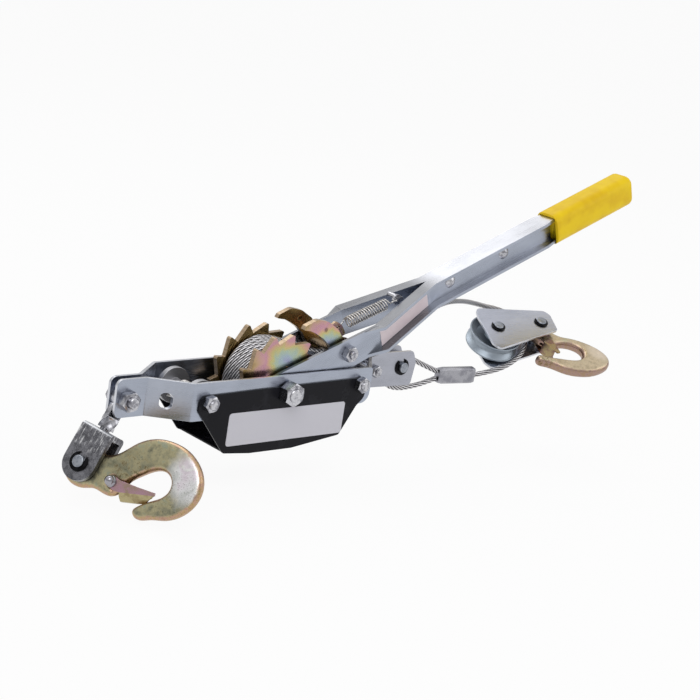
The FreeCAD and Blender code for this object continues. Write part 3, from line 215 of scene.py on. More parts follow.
class NodeTree:
    """A node tree, and the one method that adds every kind of node to it."""

    def __init__(self, tree: bpy.types.NodeTree) -> None:
        """Takes hold of a tree.

        Args:
            tree: Blender's own tree.
        """
        self.nodes = tree.nodes
        self.links = tree.links

    def feed(self, socket: bpy.types.NodeSocket, value: Any) -> None:
        """Gives an input its link or its value.

        Args:
            socket: the input socket.
            value: a Signal, or a plain value.
        """
        if isinstance(value, Signal):
            self.links.new(value.socket, socket)
        else:
            socket.default_value = value

    def node(self, kind: str, settings: dict[str, Any] | None = None,
             inputs: dict[str | int, Any] | None = None) -> bpy.types.Node:
        """Adds a node.

        Args:
            kind: the node's type.
            settings: its properties; "stops" gives a colour ramp's (position, colour) pairs.
            inputs: its sockets by name or number, each a value or a Signal.

        Returns:
            The new node.
        """
        node = self.nodes.new(kind)
        for name, value in (settings or {}).items():
            if name == "stops":
                self._set_stops(node.color_ramp, value)
            else:
                setattr(node, name, value)
        for key, value in (inputs or {}).items():
            self.feed(node.inputs[key], value)
        return node

    def make(self, kind: str, settings: dict[str, Any] | None = None,
             inputs: dict[str | int, Any] | None = None, output: str | int = 0) -> Signal:
        """Adds a node and gives one of its outputs.

        Args:
            kind: the node's type.
            settings: its properties.
            inputs: its sockets by name or number, each a value or a Signal.
            output: the output's name or number.

        Returns:
            What the output carries.
        """
        return Signal(self, self.node(kind, settings, inputs).outputs[output])

    def _set_stops(self, ramp: bpy.types.ColorRamp, stops: Stops) -> None:
        """Gives a colour ramp its stops.

        Args:
            ramp: the ramp, which starts with two stops.
            stops: position and colour of each stop, in rising order.
        """
        while len(ramp.elements) < len(stops):
            ramp.elements.new(1.0)
        for element, (position, colour) in zip(ramp.elements, stops):
            element.position = position
            element.color = rgba(colour)

    def math(self, operation: str, first: Operand, second: Operand = 0.0) -> Signal:
        """Result of a Math node."""
        return self.make("ShaderNodeMath", {"operation": operation}, {0: first, 1: second})

    def vector(self, operation: str, inputs: dict[str | int, Any], output: str | int = 0) -> Signal:
        """Result of a Vector Math node."""
        return self.make("ShaderNodeVectorMath", {"operation": operation}, inputs, output)


class FinishTree(NodeTree):
    """One material's node tree with its Principled shader."""

    def __init__(self, name: str) -> None:
        """Starts an empty material.

        Args:
            name: the material's name.
        """
        self.material = bpy.data.materials.new(name)
        self.material.use_nodes = True
        super().__init__(self.material.node_tree)
        self.nodes.clear()
        self.shader = self.node("ShaderNodeBsdfPrincipled")
        self.node("ShaderNodeOutputMaterial", None, {"Surface": Signal(self, self.shader.outputs["BSDF"])})
        self.place = self.node("ShaderNodeTexCoord")

    def mapped(self, size: Point | float, turn: Point = LEVEL, centre: Point = ORIGIN) -> Signal:
        """Object coordinates measured in units of a feature's size along turned axes.

        Args:
            size: one feature's size along each axis, or one size for all three, in metres.
            turn: the axes' turn, in degrees.
            centre: the origin, in metres.

        Returns:
            The mapped vector.
        """
        return self.make(
            "ShaderNodeMapping",
            {"vector_type": "TEXTURE"},
            {
                "Vector": Signal(self, self.place.outputs["Object"]),
                "Location": centre,
                "Rotation": [math.radians(angle) for angle in turn],
                "Scale": size if isinstance(size, tuple) else (size,) * 3,
            },
        )

    def noise(self, size: Point | float, detail: float = 3.0, rough: float = 0.5, turn: Point = LEVEL,
              bend: float = 0.0) -> Signal:
        """Cloudy pattern from 0 to 1 whose features have a given size.

        Args:
            size: one feature's size along each axis, or one size for all three, in metres.
            detail: octaves.
            rough: share of each finer octave.
            turn: the axes' turn, in degrees.
            bend: distortion.

        Returns:
            The pattern's value.
        """
        inputs = {"Scale": 1.0, "Detail": detail, "Roughness": rough, "Distortion": bend}
        return self.make("ShaderNodeTexNoise", None, {"Vector": self.mapped(size, turn), **inputs}, "Fac")

    def facing(self, way: Point) -> Signal:
        """How squarely the surface faces along a direction or against it, from 0 to 1."""
        normal = Signal(self, self.place.outputs["Normal"])
        return abs(self.vector("DOT_PRODUCT", {0: normal, 1: way}, "Value"))

    def distance(self, centre: Point, reach: Point | float, turn: Point = LEVEL) -> Signal:
        """Distance from a place, counted in reaches.

        Args:
            centre: the place, in metres.
            reach: what counts as 1 along each turned axis, or along all three, in metres.
            turn: the axes' turn, in degrees.

        Returns:
            The distance.
        """
        return self.vector("LENGTH", {0: self.mapped(reach, turn, centre)}, "Value")

    def part(self, vector: Signal, axis: int) -> Signal:
        """One component of a vector: 0, 1 or 2 for X, Y or Z."""
        return self.make("ShaderNodeSeparateXYZ", None, {0: vector}, axis)

    def carried(self, name: str) -> Signal:
        """A value that the piece's own mesh carries."""
        return self.make("ShaderNodeAttribute", {"attribute_name": name}, None, "Fac")

    def ramp(self, value: Signal, stops: Stops) -> Signal:
        """Colour of a value on a colour ramp."""
        return self.make("ShaderNodeValToRGB", {"stops": stops}, {"Fac": value}, "Color")

    def mix(self, share: Operand, first: Signal | Colour, second: Signal | Colour) -> Signal:
        """Two colours mixed.

        Args:
            share: how much of the second shows.
            first: the first colour.
            second: the second colour.

        Returns:
            The mixed colour.
        """
        pair = [colour if isinstance(colour, Signal) else rgba(colour) for colour in (first, second)]
        settings = {"data_type": "RGBA", "clamp_factor": True}
        return self.make("ShaderNodeMix", settings, {0: share, 6: pair[0], 7: pair[1]}, 2)

    def shade(self, colour: Signal, amount: Signal) -> Signal:
        """A colour made lighter or darker by a factor."""
        return self.vector("SCALE", {0: colour, "Scale": amount})

    def surface(self, **sockets: Any) -> None:
        """Sets the shader's sockets.

        Args:
            sockets: Principled socket names with _ for spaces, each a value or a Signal.
        """
        for name, value in sockets.items():
            self.feed(self.shader.inputs[name.replace("_", " ")], value)

    def bump(self, height: Signal, depth: float, strength: float = 1.0) -> None:
        """Lets a height raise the surface.

        Args:
            height: the height from 0 to 1.
            depth: what 1 stands for, in metres.
            strength: the bump's strength.
        """
        inputs = {"Height": height, "Distance": depth, "Strength": strength}
        self.surface(Normal=self.make("ShaderNodeBump", None, inputs, "Normal"))


@dataclass(frozen=True)
class Finish(ABC):
    """A surface finish: one material and the record's slot that it belongs to."""

    name: str
    slot: str

    @abstractmethod
    def paint(self, tree: FinishTree) -> None:
        """Builds the finish's nodes.

        Args:
            tree: the material's tree.
        """

    def material(self) -> bpy.types.Material:
        """The finish's material, built on first use.

        Returns:
            The material.
        """
        found = bpy.data.materials.get(self.name)
        if found is None:
            tree = FinishTree(self.name)
            self.paint(tree)
            found = tree.material
        return found


@dataclass(frozen=True)
class BrushedZinc(Finish):
    """Zinc-plated sheet with fine streaks along its rolling direction and bright sheared edges, and where
    asked, painted shade on faces turned up at one end.
    """

    tint: Colour = (0.37, 0.40, 0.47)
    edge_tint: Colour = (0.60, 0.61, 0.65)
    turn: Point = LEVEL
    streak_length: float = 0.045
    streak_width: float = 0.00055
    streak_depth: float = 0.02
    cloud: Point = (0.05, 0.02, 0.02)
    speck: float = 0.0016
    contrast: float = 0.26
    cloud_share: float = 0.55
    speck_share: float = 0.18
    rough: float = 0.3
    # X range over which the painted shade on faces turned up fades out, and how much it darkens.
    painted_shade_ends: tuple[float, float] | None = None
    painted_shade_share: float = 0.68

    def paint(self, tree: FinishTree) -> None:
        """Streaks run along the grain on the faces; edges stay plain and bright.

        Args:
            tree: the material's tree.
        """
        side = tree.noise((self.streak_length, self.streak_depth, self.streak_width), 4.0, 0.6, self.turn)
        top = tree.noise((self.streak_length, self.streak_width, self.streak_depth), 4.0, 0.6, self.turn)
        clouds = tree.noise(self.cloud, 3.0, 0.55, self.turn)
        specks = tree.noise(self.speck, 3.0, 0.7).step(0.64, 0.75)
        broadside = Euler([math.radians(angle) for angle in self.turn]).to_matrix() @ Vector(SIDEWAYS)
        faces = tree.facing(tuple(broadside)).step(0.55, 0.85)
        streaks = side * faces + top * (1.0 - faces)
        level = streaks.sway(self.contrast) + clouds.sway(self.cloud_share)
        level = level - specks * self.speck_share + 1.0
        # Painted shade: faces turned up or down are darkened at low X, fading out over the given range.
        if self.painted_shade_ends:
            along = tree.part(tree.mapped(1.0), 0)
            dim = (1.0 - along.step(*self.painted_shade_ends)) * tree.facing(UPWARDS).step(0.6, 0.85)
            level = level * (1.0 - dim * self.painted_shade_share)
        tree.surface(
            Base_Color=tree.shade(tree.mix(faces, self.edge_tint, self.tint), level),
            Metallic=1.0,
            Roughness=streaks.sway(0.25) + clouds.sway(0.2) + self.rough,
        )
        tree.bump(streaks, 0.00004, 0.35)


@dataclass(frozen=True)
class PlainSteel(Finish):
    """Plated or bare steel with faint clouds, small nicks and no direction."""

    tint: Colour = (0.60, 0.60, 0.63)
    dark: Colour = (0.30, 0.30, 0.33)
    rough: float = 0.24
    size: float = 0.006
    finer: float = 6.0
    nick_depth: float = 0.00003

    def paint(self, tree: FinishTree) -> None:
        """Clouds change the colour and gloss; a finer pattern nicks the surface.

        Args:
            tree: the material's tree.
        """
        clouds = tree.noise(self.size, 4.0, 0.6)
        fine = tree.noise(self.size / self.finer, 3.0, 0.6)
        tree.surface(
            Base_Color=tree.mix(clouds.step(0.42, 0.62), self.tint, self.dark),
            Metallic=1.0,
            Roughness=fine.sway(0.3) + self.rough,
        )
        tree.bump(fine, self.nick_depth, 0.5)


@dataclass(frozen=True)
class ScratchedForging(Finish):
    """Dull dark zinc on a forging, with a painted highlight in lighter grey on faces turned up, rubbed bright
    in short strokes near its bridge.
    """

    turn: Point
    bridge: Point
    up: Point
    dull: Colour = (0.09, 0.09, 0.10)
    grey: Colour = (0.23, 0.23, 0.25)
    bright: Colour = (0.72, 0.72, 0.73)
    # Lighter grey on faces turned along up: a painted highlight.
    top: Colour = (0.44, 0.45, 0.47)
    cloud: float = 0.007
    grit: float = 0.0009
    stroke: Point = (0.0016, 0.0016, 0.012)
    bridge_reach: Point = (0.03, 0.03, 0.017)
    rough: float = 0.42

    def paint(self, tree: FinishTree) -> None:
        """Specks darken the grey; strokes along the turned Z axis fade away from the bridge.

        Args:
            tree: the material's tree.
        """
        clouds = tree.noise(self.cloud, 4.0, 0.65)
        grit = tree.noise(self.grit, 3.0, 0.7)
        strokes = tree.noise(self.stroke, 3.0, 0.6, self.turn)
        near = 1.0 - tree.distance(self.bridge, self.bridge_reach, self.turn).step(0.55, 1.0)
        over = tree.facing(self.up).step(0.35, 0.75)
        rubbed = (strokes + clouds.sway(0.5)).step(0.53, 0.66) * near * (1.0 - over * 0.8)
        skin = tree.mix((clouds * 0.5 + grit * 0.5).step(0.4, 0.6), self.dull, self.grey)
        # Painted highlight: faces turned along up, either way, take the lighter top grey.
        skin = tree.mix(over, skin, self.top)
        tree.surface(
            Base_Color=tree.mix(rubbed * 0.9, skin, self.bright),
            Metallic=1.0,
            Roughness=self.rough - rubbed * 0.14 + grit.sway(0.2),
        )
        tree.bump(grit * 0.6 + strokes * 0.4, 0.00008, 0.6)


@dataclass(frozen=True)
class YellowChromate(Finish):
    """Yellow-chromate zinc: brownish gold with pink, green and teal interference bands round a place."""

    centre: Point
    reach: Point
    cloud: float = 0.02
    grain: float = 0.0011
    line: Point = (0.0008, 0.02, 0.0008)
    rough: float = 0.27
    dimple: Point | None = None
    dimple_reach: Point = (0.0026, 1.0, 0.0026)
    edge_tint: Colour = (0.44, 0.33, 0.22)
    bands: Stops = (
        (0.00, (0.33, 0.35, 0.50)), (0.14, (0.34, 0.42, 0.47)), (0.28, (0.38, 0.46, 0.36)),
        (0.38, (0.50, 0.45, 0.20)), (0.47, (0.56, 0.36, 0.24)), (0.58, (0.50, 0.27, 0.33)),
        (0.72, (0.50, 0.30, 0.28)), (0.86, (0.44, 0.31, 0.18)), (1.00, (0.26, 0.18, 0.07)))

    def paint(self, tree: FinishTree) -> None:
        """Bands follow the distance from the centre, bent by clouds; a finer pattern streaks the edges; a
        dimple is dented and darkened with painted shade.

        Args:
            tree: the material's tree.
        """
        flow = tree.noise(self.cloud, 3.0, 0.5, bend=0.6)
        fine = tree.noise(self.grain, 4.0, 0.65)
        lines = tree.noise(self.line, 2.0, 0.6)
        band = tree.distance(self.centre, self.reach) + flow.sway(0.6)
        faces = tree.facing(SIDEWAYS).step(0.5, 0.9)
        colour = tree.mix(faces, self.edge_tint, tree.ramp(band, self.bands))
        level = flow.sway(0.5) + fine.sway(0.2) + (lines - 0.5) * (1.0 - faces) * 1.3 + 1.0
        height = (fine * 0.5 + lines) * 0.06
        if self.dimple:
            # Inside the dimple the colour is darkened as painted shade, and the bump dents it.
            shaded_hollow = 1.0 - tree.distance(self.dimple, self.dimple_reach).step(0.45, 1.1)
            level = level * (1.0 - shaded_hollow * 0.55)
            height = height - shaded_hollow
        tree.surface(
            Base_Color=tree.shade(colour, level),
            Metallic=1.0,
            Roughness=flow.sway(0.25) + fine.sway(0.2) + self.rough,
        )
        tree.bump(height, 0.0005, 0.6)


@dataclass(frozen=True)
class ForgedChromate(Finish):
    """Chromate on a hook: olive gold with a silvery patch of painted highlight, brown and pink rims and dark
    specks.
    """

    # Centre of the silvery painted highlight.
    painted_highlight_at: Point
    speck_at: Point
    soot_at: Point
    # Reach of the silvery painted highlight.
    painted_highlight_reach: float
    soot_reach: float
    speck_reach: float = 0.03
    flow: float = 0.016
    blot: float = 0.004
    grit: float = 0.0008
    rough: float = 0.34
    soot_tint: Colour = (0.12, 0.08, 0.03)
    pit_tint: Colour = (0.07, 0.06, 0.03)
    skin: Stops = (
        (0.30, (0.17, 0.17, 0.11)), (0.42, (0.29, 0.28, 0.19)), (0.52, (0.42, 0.38, 0.23)),
        (0.60, (0.31, 0.33, 0.24)), (0.72, (0.44, 0.41, 0.30)))
    # Colours of the silvery painted highlight.
    painted_highlight_colours: Stops = (
        (0.35, (0.62, 0.63, 0.61)), (0.50, (0.80, 0.79, 0.80)), (0.60, (0.74, 0.66, 0.72)),
        (0.72, (0.82, 0.83, 0.80)))
    rim: Stops = (
        (0.25, (0.42, 0.24, 0.17)), (0.45, (0.52, 0.34, 0.24)), (0.60, (0.46, 0.32, 0.14)),
        (0.75, (0.56, 0.36, 0.34)))

    def paint(self, tree: FinishTree) -> None:
        """The rim's colours follow the value that the forging's mesh carries, 0 at its edge and 1 inside.

        Args:
            tree: the material's tree.
        """
        flow = tree.noise(self.flow, 3.0, 0.5, bend=0.5)
        blots = tree.noise(self.blot, 4.0, 0.65)
        grit = tree.noise(self.grit, 3.0, 0.7)
        # Painted highlight: a silvery patch round a given place, bent by the flow, stands in for reflected
        # light.
        painted_highlight_patch = tree.distance(self.painted_highlight_at, self.painted_highlight_reach) + flow.sway(0.9)
        soil = tree.distance(self.speck_at, self.speck_reach) + blots.sway(0.8)
        soot = tree.distance(self.soot_at, self.soot_reach) + flow.sway(0.8)
        olive = tree.ramp(blots * 0.4 + flow * 0.6, self.skin)
        body = tree.mix(painted_highlight_patch.step(0.6, 1.2), tree.ramp(flow, self.painted_highlight_colours), olive)
        inside = (tree.carried("inside") + blots.sway(0.5)).step(0.1, 0.5)
        colour = tree.mix(inside, tree.ramp(blots, self.rim), body)
        pits = (grit + blots.sway(0.3)).step(0.56, 0.66) * soil.step(0.5, 1.3, 0.85, 0.2)
        brown = (blots * 0.6 + grit * 0.4).step(0.48, 0.6) * soot.step(0.4, 1.1, 0.8, 0.0)
        level = grit.sway(0.5) + blots.sway(0.6) + 1.0
        sooted = tree.mix(brown, tree.shade(colour, level), self.soot_tint)
        tree.surface(
            Base_Color=tree.mix(pits, sooted, self.pit_tint),
            Metallic=1.0,
            Roughness=blots.sway(0.3) + pits * 0.2 + self.rough,
        )
        tree.bump(grit * 0.6 + blots * 0.4, 0.00022, 0.6)


@dataclass(frozen=True)
class PulleySteel(Finish):
    """Blue-grey zinc on the pulley's rim and groove, with painted shade making the dish nearly black."""

    centre: Point
    turn: Point
    rim: Colour = (0.34, 0.40, 0.49)
    # Nearly black painted shade of the dish.
    dish: Colour = (0.008, 0.016, 0.032)
    lip_radius: float = 0.0249
    groove_half: float = 0.0048
    middle: float = 0.0015
    rough: float = 0.18

    def paint(self, tree: FinishTree) -> None:
        """The colour changes to painted shade inside the lip, on both sides of the groove.

        Args:
            tree: the material's tree.
        """
        out = tree.distance(self.centre, (self.lip_radius, 1.0, self.lip_radius), self.turn)
        clouds = tree.noise(0.012, 3.0, 0.6)
        fine = tree.noise(0.0015, 3.0, 0.6)
        across = abs(tree.part(tree.mapped(1.0, self.turn, self.centre), 1) - self.middle)
        beside = across.step(self.groove_half - 0.0003, self.groove_half + 0.0005)
        groove = out.step(0.845, 0.86) * (1.0 - beside)
        # Painted shade: inside the lip, apart from the groove, the colour is nearly black.
        inner = (1.0 - out.step(0.98, 1.005)) * (1.0 - groove)
        level = clouds.sway(0.7) + fine.sway(0.2) + 1.0
        tree.surface(
            Base_Color=tree.shade(tree.mix(inner, self.rim, self.dish), level),
            Metallic=1.0,
            Roughness=fine.sway(0.2) + self.rough,
        )
        tree.bump(fine, 0.00003, 0.5)


@dataclass(frozen=True)
class PowderCoat(Finish):
    """Black powder coat with a faint orange peel and dust."""

    tint: Colour = (0.006, 0.006, 0.009)
    dust: Colour = (0.016, 0.016, 0.021)
    rough: float = 0.16
    gloss: float = 0.13

    def paint(self, tree: FinishTree) -> None:
        """Orange peel bumps the coat, and dust dulls it in patches.

        Args:
            tree: the material's tree.
        """
        peel = tree.noise(0.0018, 2.0, 0.5)
        patches = tree.noise(0.02, 4.0, 0.6)
        tree.surface(
            Base_Color=tree.mix(patches.step(0.5, 0.75), self.tint, self.dust),
            Roughness=patches * 0.2 + self.rough,
            Specular_IOR_Level=self.gloss,
        )
        tree.bump(peel, 0.00004, 0.5)


@dataclass(frozen=True)
class SatinSheet(Finish):
    """Plain printed or plastic sheet, left bare."""

    tint: Colour = (0.36, 0.34, 0.365)
    worn: Colour = (0.28, 0.27, 0.30)
    rough: float = 0.38

    def paint(self, tree: FinishTree) -> None:
        """Faint rub marks lengthwise and a little clouding.

        Args:
            tree: the material's tree.
        """
        clouds = tree.noise((0.03, 0.01, 0.012), 4.0, 0.6)
        rubs = tree.noise((0.02, 0.01, 0.0006), 3.0, 0.6)
        tree.surface(
            Base_Color=tree.mix(clouds.step(0.45, 0.75) * 0.6 + rubs.sway(0.2), self.tint, self.worn),
            Roughness=rubs.sway(0.2) + self.rough,
        )
        tree.bump(clouds, 0.00005, 0.3)


@dataclass(frozen=True)
class SoftPlastic(Finish):
    """Dipped soft plastic of the grip: satin with a slow waviness and fine pores."""

    tint: Colour = (0.94, 0.66, 0.006)
    deep: Colour = (0.82, 0.52, 0.004)
    rough: float = 0.42
    gloss: float = 0.25

    def paint(self, tree: FinishTree) -> None:
        """Slow waves and fine pores in the plastic.

        Args:
            tree: the material's tree.
        """
        waves = tree.noise(0.02, 2.0, 0.5)
        pores = tree.noise(0.0009, 3.0, 0.6)
        tree.surface(
            Base_Color=tree.mix(waves.step(0.35, 0.75), self.tint, self.deep),
            Roughness=pores.sway(0.25) + self.rough,
            Specular_IOR_Level=self.gloss,
        )
        tree.bump(waves * 0.7 + pores * 0.3, 0.00025, 0.35)


@dataclass(frozen=True)
class StrandSteel(Finish):
    """Galvanised rope wire, darkened between the strands by painted shade, with darker dashes and grimy
    patches.
    """

    tint: Colour = (0.60, 0.59, 0.61)
    # Dark colour of the painted shade between strands, also used for the dashes and patches.
    grime_and_shade: Colour = (0.03, 0.028, 0.028)
    rough: float = 0.3

    def paint(self, tree: FinishTree) -> None:
        """Painted shade follows the depth that the strands' mesh carries, darkening the gaps between strands;
        dashes are single wires, and patches make it grimy.

        Args:
            tree: the material's tree.
        """
        dashes = tree.noise(0.0011, 2.0, 0.6)
        patches = tree.noise(0.012, 3.0, 0.6)
        # Painted shade: the gaps between the strands, where the mesh lies deep, are darkened.
        shaded_hollow = 1.0 - tree.carried("outward").step(0.83, 0.985)
        shade_and_dirt = shaded_hollow + dashes.step(0.5, 0.7) * 0.35 + patches.step(0.55, 0.8) * 0.15
        tree.surface(
            Base_Color=tree.mix(shade_and_dirt, self.tint, self.grime_and_shade),
            Metallic=1.0,
            Roughness=dashes.sway(0.3) + self.rough,
        )
        tree.bump(dashes, 0.0001, 0.6)


LEVER_TURN: Point = (0.0, -21.3, 0.0)
BLOCK_TURN: Point = (-66.3, -4.8, -10.7)
CLEVIS_TURN: Point = (-26.24, 8.17, -73.91)


class Palette(Enum):
    """Every finish of the puller."""

    FRAME_ZINC = BrushedZinc("frame_zinc", "zinc_plate")
    # The lever's fork end gets painted shade on its faces turned up.
    LEVER_ZINC = BrushedZinc("lever_zinc", "zinc_plate", turn=LEVER_TURN, painted_shade_ends=(0.165, 0.205))
    BLOCK_ZINC = BrushedZinc("block_zinc", "zinc_plate", tint=(0.44, 0.46, 0.53), turn=BLOCK_TURN)
    BRACKET_ZINC = BrushedZinc("bracket_zinc", "zinc_plate", tint=(0.38, 0.39, 0.44),
                               edge_tint=(0.54, 0.51, 0.48))
    LINK_ZINC = PlainSteel("link_zinc", "dark_zinc", tint=(0.48, 0.48, 0.51), dark=(0.22, 0.22, 0.24),
                           size=0.008)
    CLEVIS_ZINC = ScratchedForging("clevis_zinc", "dark_zinc", turn=CLEVIS_TURN,
                                   bridge=(-0.1780, -0.0010, 0.0200), up=(0.4602, 0.0, 0.8878))
    FASTENER_ZINC = PlainSteel("fastener_zinc", "zinc_fastener", tint=(0.56, 0.56, 0.59),
                               dark=(0.24, 0.24, 0.27))
    PIN_ZINC = PlainSteel("pin_zinc", "zinc_fastener", tint=(0.34, 0.36, 0.40), dark=(0.22, 0.24, 0.28),
                          rough=0.38, size=0.003)
    PAWL_STEEL = PlainSteel("pawl_steel", "pawl_steel", tint=(0.34, 0.34, 0.36), dark=(0.16, 0.16, 0.17))
    RATCHET_CHROMATE = YellowChromate("ratchet_chromate", "yellow_chromate", centre=(0.004, -0.021, 0.078),
                                      reach=(0.046, 0.030, 0.034))
    PAWL_CHROMATE = YellowChromate("pawl_chromate", "yellow_chromate", centre=(0.050, -0.021, 0.092),
                                   reach=(0.040, 0.034, 0.030), cloud=0.012, dimple=(0.045, 0.0, 0.104))
    PINK_CHROMATE = PlainSteel("pink_chromate", "yellow_chromate", tint=(0.44, 0.27, 0.32),
                               dark=(0.36, 0.26, 0.20), rough=0.3, size=0.009)
    GOLD_CHROMATE = PlainSteel("gold_chromate", "yellow_chromate", tint=(0.42, 0.36, 0.20),
                               dark=(0.30, 0.24, 0.13), rough=0.3, size=0.009)
    BROWN_CHROMATE = PlainSteel("brown_chromate", "yellow_chromate", tint=(0.36, 0.28, 0.15),
                                dark=(0.24, 0.14, 0.12), rough=0.3, size=0.007)
    # Both hooks' silvery patches are painted highlights, the load hook's paler.
    ANCHOR_FORGING = ForgedChromate("anchor_forging", "forged_hook", painted_highlight_at=(-0.1433, -0.0955, 0.0128),
                                    speck_at=(-0.1558, -0.0931, -0.0098), painted_highlight_reach=0.024,
                                    soot_at=(-0.1680, -0.0480, -0.0010), soot_reach=0.026)
    LOAD_FORGING = ForgedChromate("load_forging", "forged_hook", painted_highlight_at=(0.3974, -0.0504, 0.0693),
                                  speck_at=(0.3276, -0.0397, 0.0623), painted_highlight_reach=0.014, speck_reach=0.012,
                                  painted_highlight_colours=((0.3, (0.60, 0.51, 0.38)), (0.7, (0.68, 0.58, 0.46))),
                                  soot_at=(0.3276, -0.0397, 0.0623), soot_reach=0.012,
                                  skin=((0.28, (0.36, 0.30, 0.20)), (0.42, (0.46, 0.38, 0.26)),
                                        (0.52, (0.56, 0.46, 0.32)), (0.62, (0.48, 0.44, 0.30)),
                                        (0.74, (0.60, 0.48, 0.36))),
                                  rim=((0.25, (0.26, 0.15, 0.12)), (0.45, (0.40, 0.27, 0.23)),
                                       (0.60, (0.34, 0.23, 0.14)), (0.75, (0.46, 0.32, 0.30))))
    BALL_STEEL = PlainSteel("ball_steel", "polished_rivet", tint=(0.34, 0.33, 0.36), dark=(0.24, 0.24, 0.26),
                            rough=0.12)
    SPRING_WIRE = PlainSteel("spring_wire", "spring_steel", tint=(0.62, 0.60, 0.58), dark=(0.34, 0.33, 0.33),
                             rough=0.2, size=0.003)
    CLIP_BLACK = PlainSteel("clip_black", "black_clip", tint=(0.016, 0.016, 0.018),
                            dark=(0.008, 0.008, 0.009), rough=0.35)
    COVER_BLACK = PowderCoat("cover_black", "black_coat")
    LABEL_GREY = SatinSheet("label_grey", "label_grey")
    STICKER_WHITE = SatinSheet("sticker_white", "sticker", tint=(0.90, 0.78, 0.82), worn=(0.80, 0.66, 0.71))
    GRIP_YELLOW = SoftPlastic("grip_yellow", "grip")
    ROPE_STEEL = StrandSteel("rope_steel", "wire_rope")
    FERRULE_ALUMINIUM = PlainSteel("ferrule_aluminium", "ferrule", tint=(0.36, 0.36, 0.39),
                                   dark=(0.25, 0.25, 0.28), rough=0.3, size=0.009)
    PULLEY_STEEL = PulleySteel("pulley_steel", "pulley_steel", centre=(0.3016, 0.0094, 0.0725),
                               turn=BLOCK_TURN)


class ShapeTree(NodeTree):
    """A Geometry Nodes tree with named inputs."""

    def __init__(self, name: str) -> None:
        """Starts a tree that takes and gives a geometry.

        Args:
            name: the tree's name.
        """
        self.group = bpy.data.node_groups.new(name, "GeometryNodeTree")
        super().__init__(self.group)
        for way in ("INPUT", "OUTPUT"):
            self.group.interface.new_socket("Geometry", in_out=way, socket_type="NodeSocketGeometry")
        self.start = self.node("NodeGroupInput")
        self.end = self.node("NodeGroupOutput")

    def given(self, name: str = "Geometry") -> Signal:
        """What one of the tree's inputs carries."""
        return Signal(self, self.start.outputs[name])

    def size(self, name: str, kind: str = "NodeSocketFloat") -> Signal:
        """Adds a named input.

        Args:
            name: the input's name.
            kind: the socket's type.

        Returns:
            What it carries inside the tree.
        """
        self.group.interface.new_socket(name, in_out="INPUT", socket_type=kind)
        return self.given(name)

    def circle(self, corners: Signal | int, radius: Operand) -> Signal:
        """A circle round the origin in the XY plane."""
        inputs = {"Resolution": corners, "Radius": radius}
        return self.make("GeometryNodeCurvePrimitiveCircle", {"mode": "RADIUS"}, inputs)

    def tube(self, path: Signal, outline: Signal) -> Signal:
        """An outline swept along a path, with closed ends."""
        inputs = {"Curve": path, "Profile Curve": outline, "Fill Caps": True}
        return self.make("GeometryNodeCurveToMesh", None, inputs)

    def copies(self, curve: Signal, count: Signal) -> tuple[Signal, Signal]:
        """A curve laid several times in the same place.

        Args:
            curve: the curve.
            count: how many copies.

        Returns:
            The copies, and each one's number as a share of the count.
        """
        inputs = {"Geometry": curve, "Amount": count}
        node = self.node("GeometryNodeDuplicateElements", {"domain": "SPLINE"}, inputs)
        return Signal(self, node.outputs["Geometry"]), Signal(self, node.outputs["Duplicate Index"]) / count

    def join(self, *parts: Signal) -> Signal:
        """Several geometries as one.

        Args:
            parts: the geometries.

        Returns:
            The joined geometry.
        """
        whole = self.node("GeometryNodeJoinGeometry")
        for part in parts:
            self.feed(whole.inputs[0], part)
        return Signal(self, whole.outputs[0])

    def finish(self, geometry: Signal) -> None:
        """Ends the tree in smooth shading, Realize Instances and Set Material.

        Args:
            geometry: what the tree has made.
        """
        material = self.size("Material", "NodeSocketMaterial")
        real = self.make("GeometryNodeRealizeInstances", None, {"Geometry": geometry})
        smooth = self.make("GeometryNodeSetShadeSmooth", None, {"Geometry": real})
        dressed = self.make("GeometryNodeSetMaterial", None, {"Geometry": smooth, "Material": material})
        self.feed(self.end.inputs[0], dressed)

    def identifiers(self) -> dict[str, str]:
        """The identifier of each named input."""
        return {item.name: item.identifier for item in self.group.interface.items_tree
                if item.item_type == "SOCKET" and item.in_out == "INPUT"}


class LaidWires(ShapeTree):
    """Lays round wires in a helix along a curve, as a rope's strands."""

    def __init__(self) -> None:
        """Builds the tree."""
        super().__init__("laid_wires")
        wires = self.size("Wires", "NodeSocketInt")
        wire_radius = self.size("Wire Radius")
        lay_radius = self.size("Lay Radius")
        lay_length = self.size("Lay Length")
        step = self.size("Step")
        sides = self.size("Sides", "NodeSocketInt")
        calm = self.make("GeometryNodeSetCurveNormal", None, {"Curve": self.given()})
        even = self.make("GeometryNodeResampleCurve", {"mode": "LENGTH"}, {"Curve": calm, "Length": step})
        copies, share = self.copies(even, wires)
        along = self.make("GeometryNodeSplineParameter", output="Length")
        tangent = self.make("GeometryNodeInputTangent")
        normal = self.make("GeometryNodeInputNormal")
        side = self.vector("CROSS_PRODUCT", {0: tangent, 1: normal})
        angle = (along / lay_length + share) * FULL_TURN
        out = self.vector("SCALE", {0: normal, "Scale": self.math("COSINE", angle) * lay_radius})
        over = self.vector("SCALE", {0: side, "Scale": self.math("SINE", angle) * lay_radius})
        offset = self.vector("ADD", {0: out, 1: over})
        laid = self.make("GeometryNodeSetPosition", None, {"Geometry": copies, "Offset": offset})
        self.finish(self.tube(laid, self.circle(sides, wire_radius)))


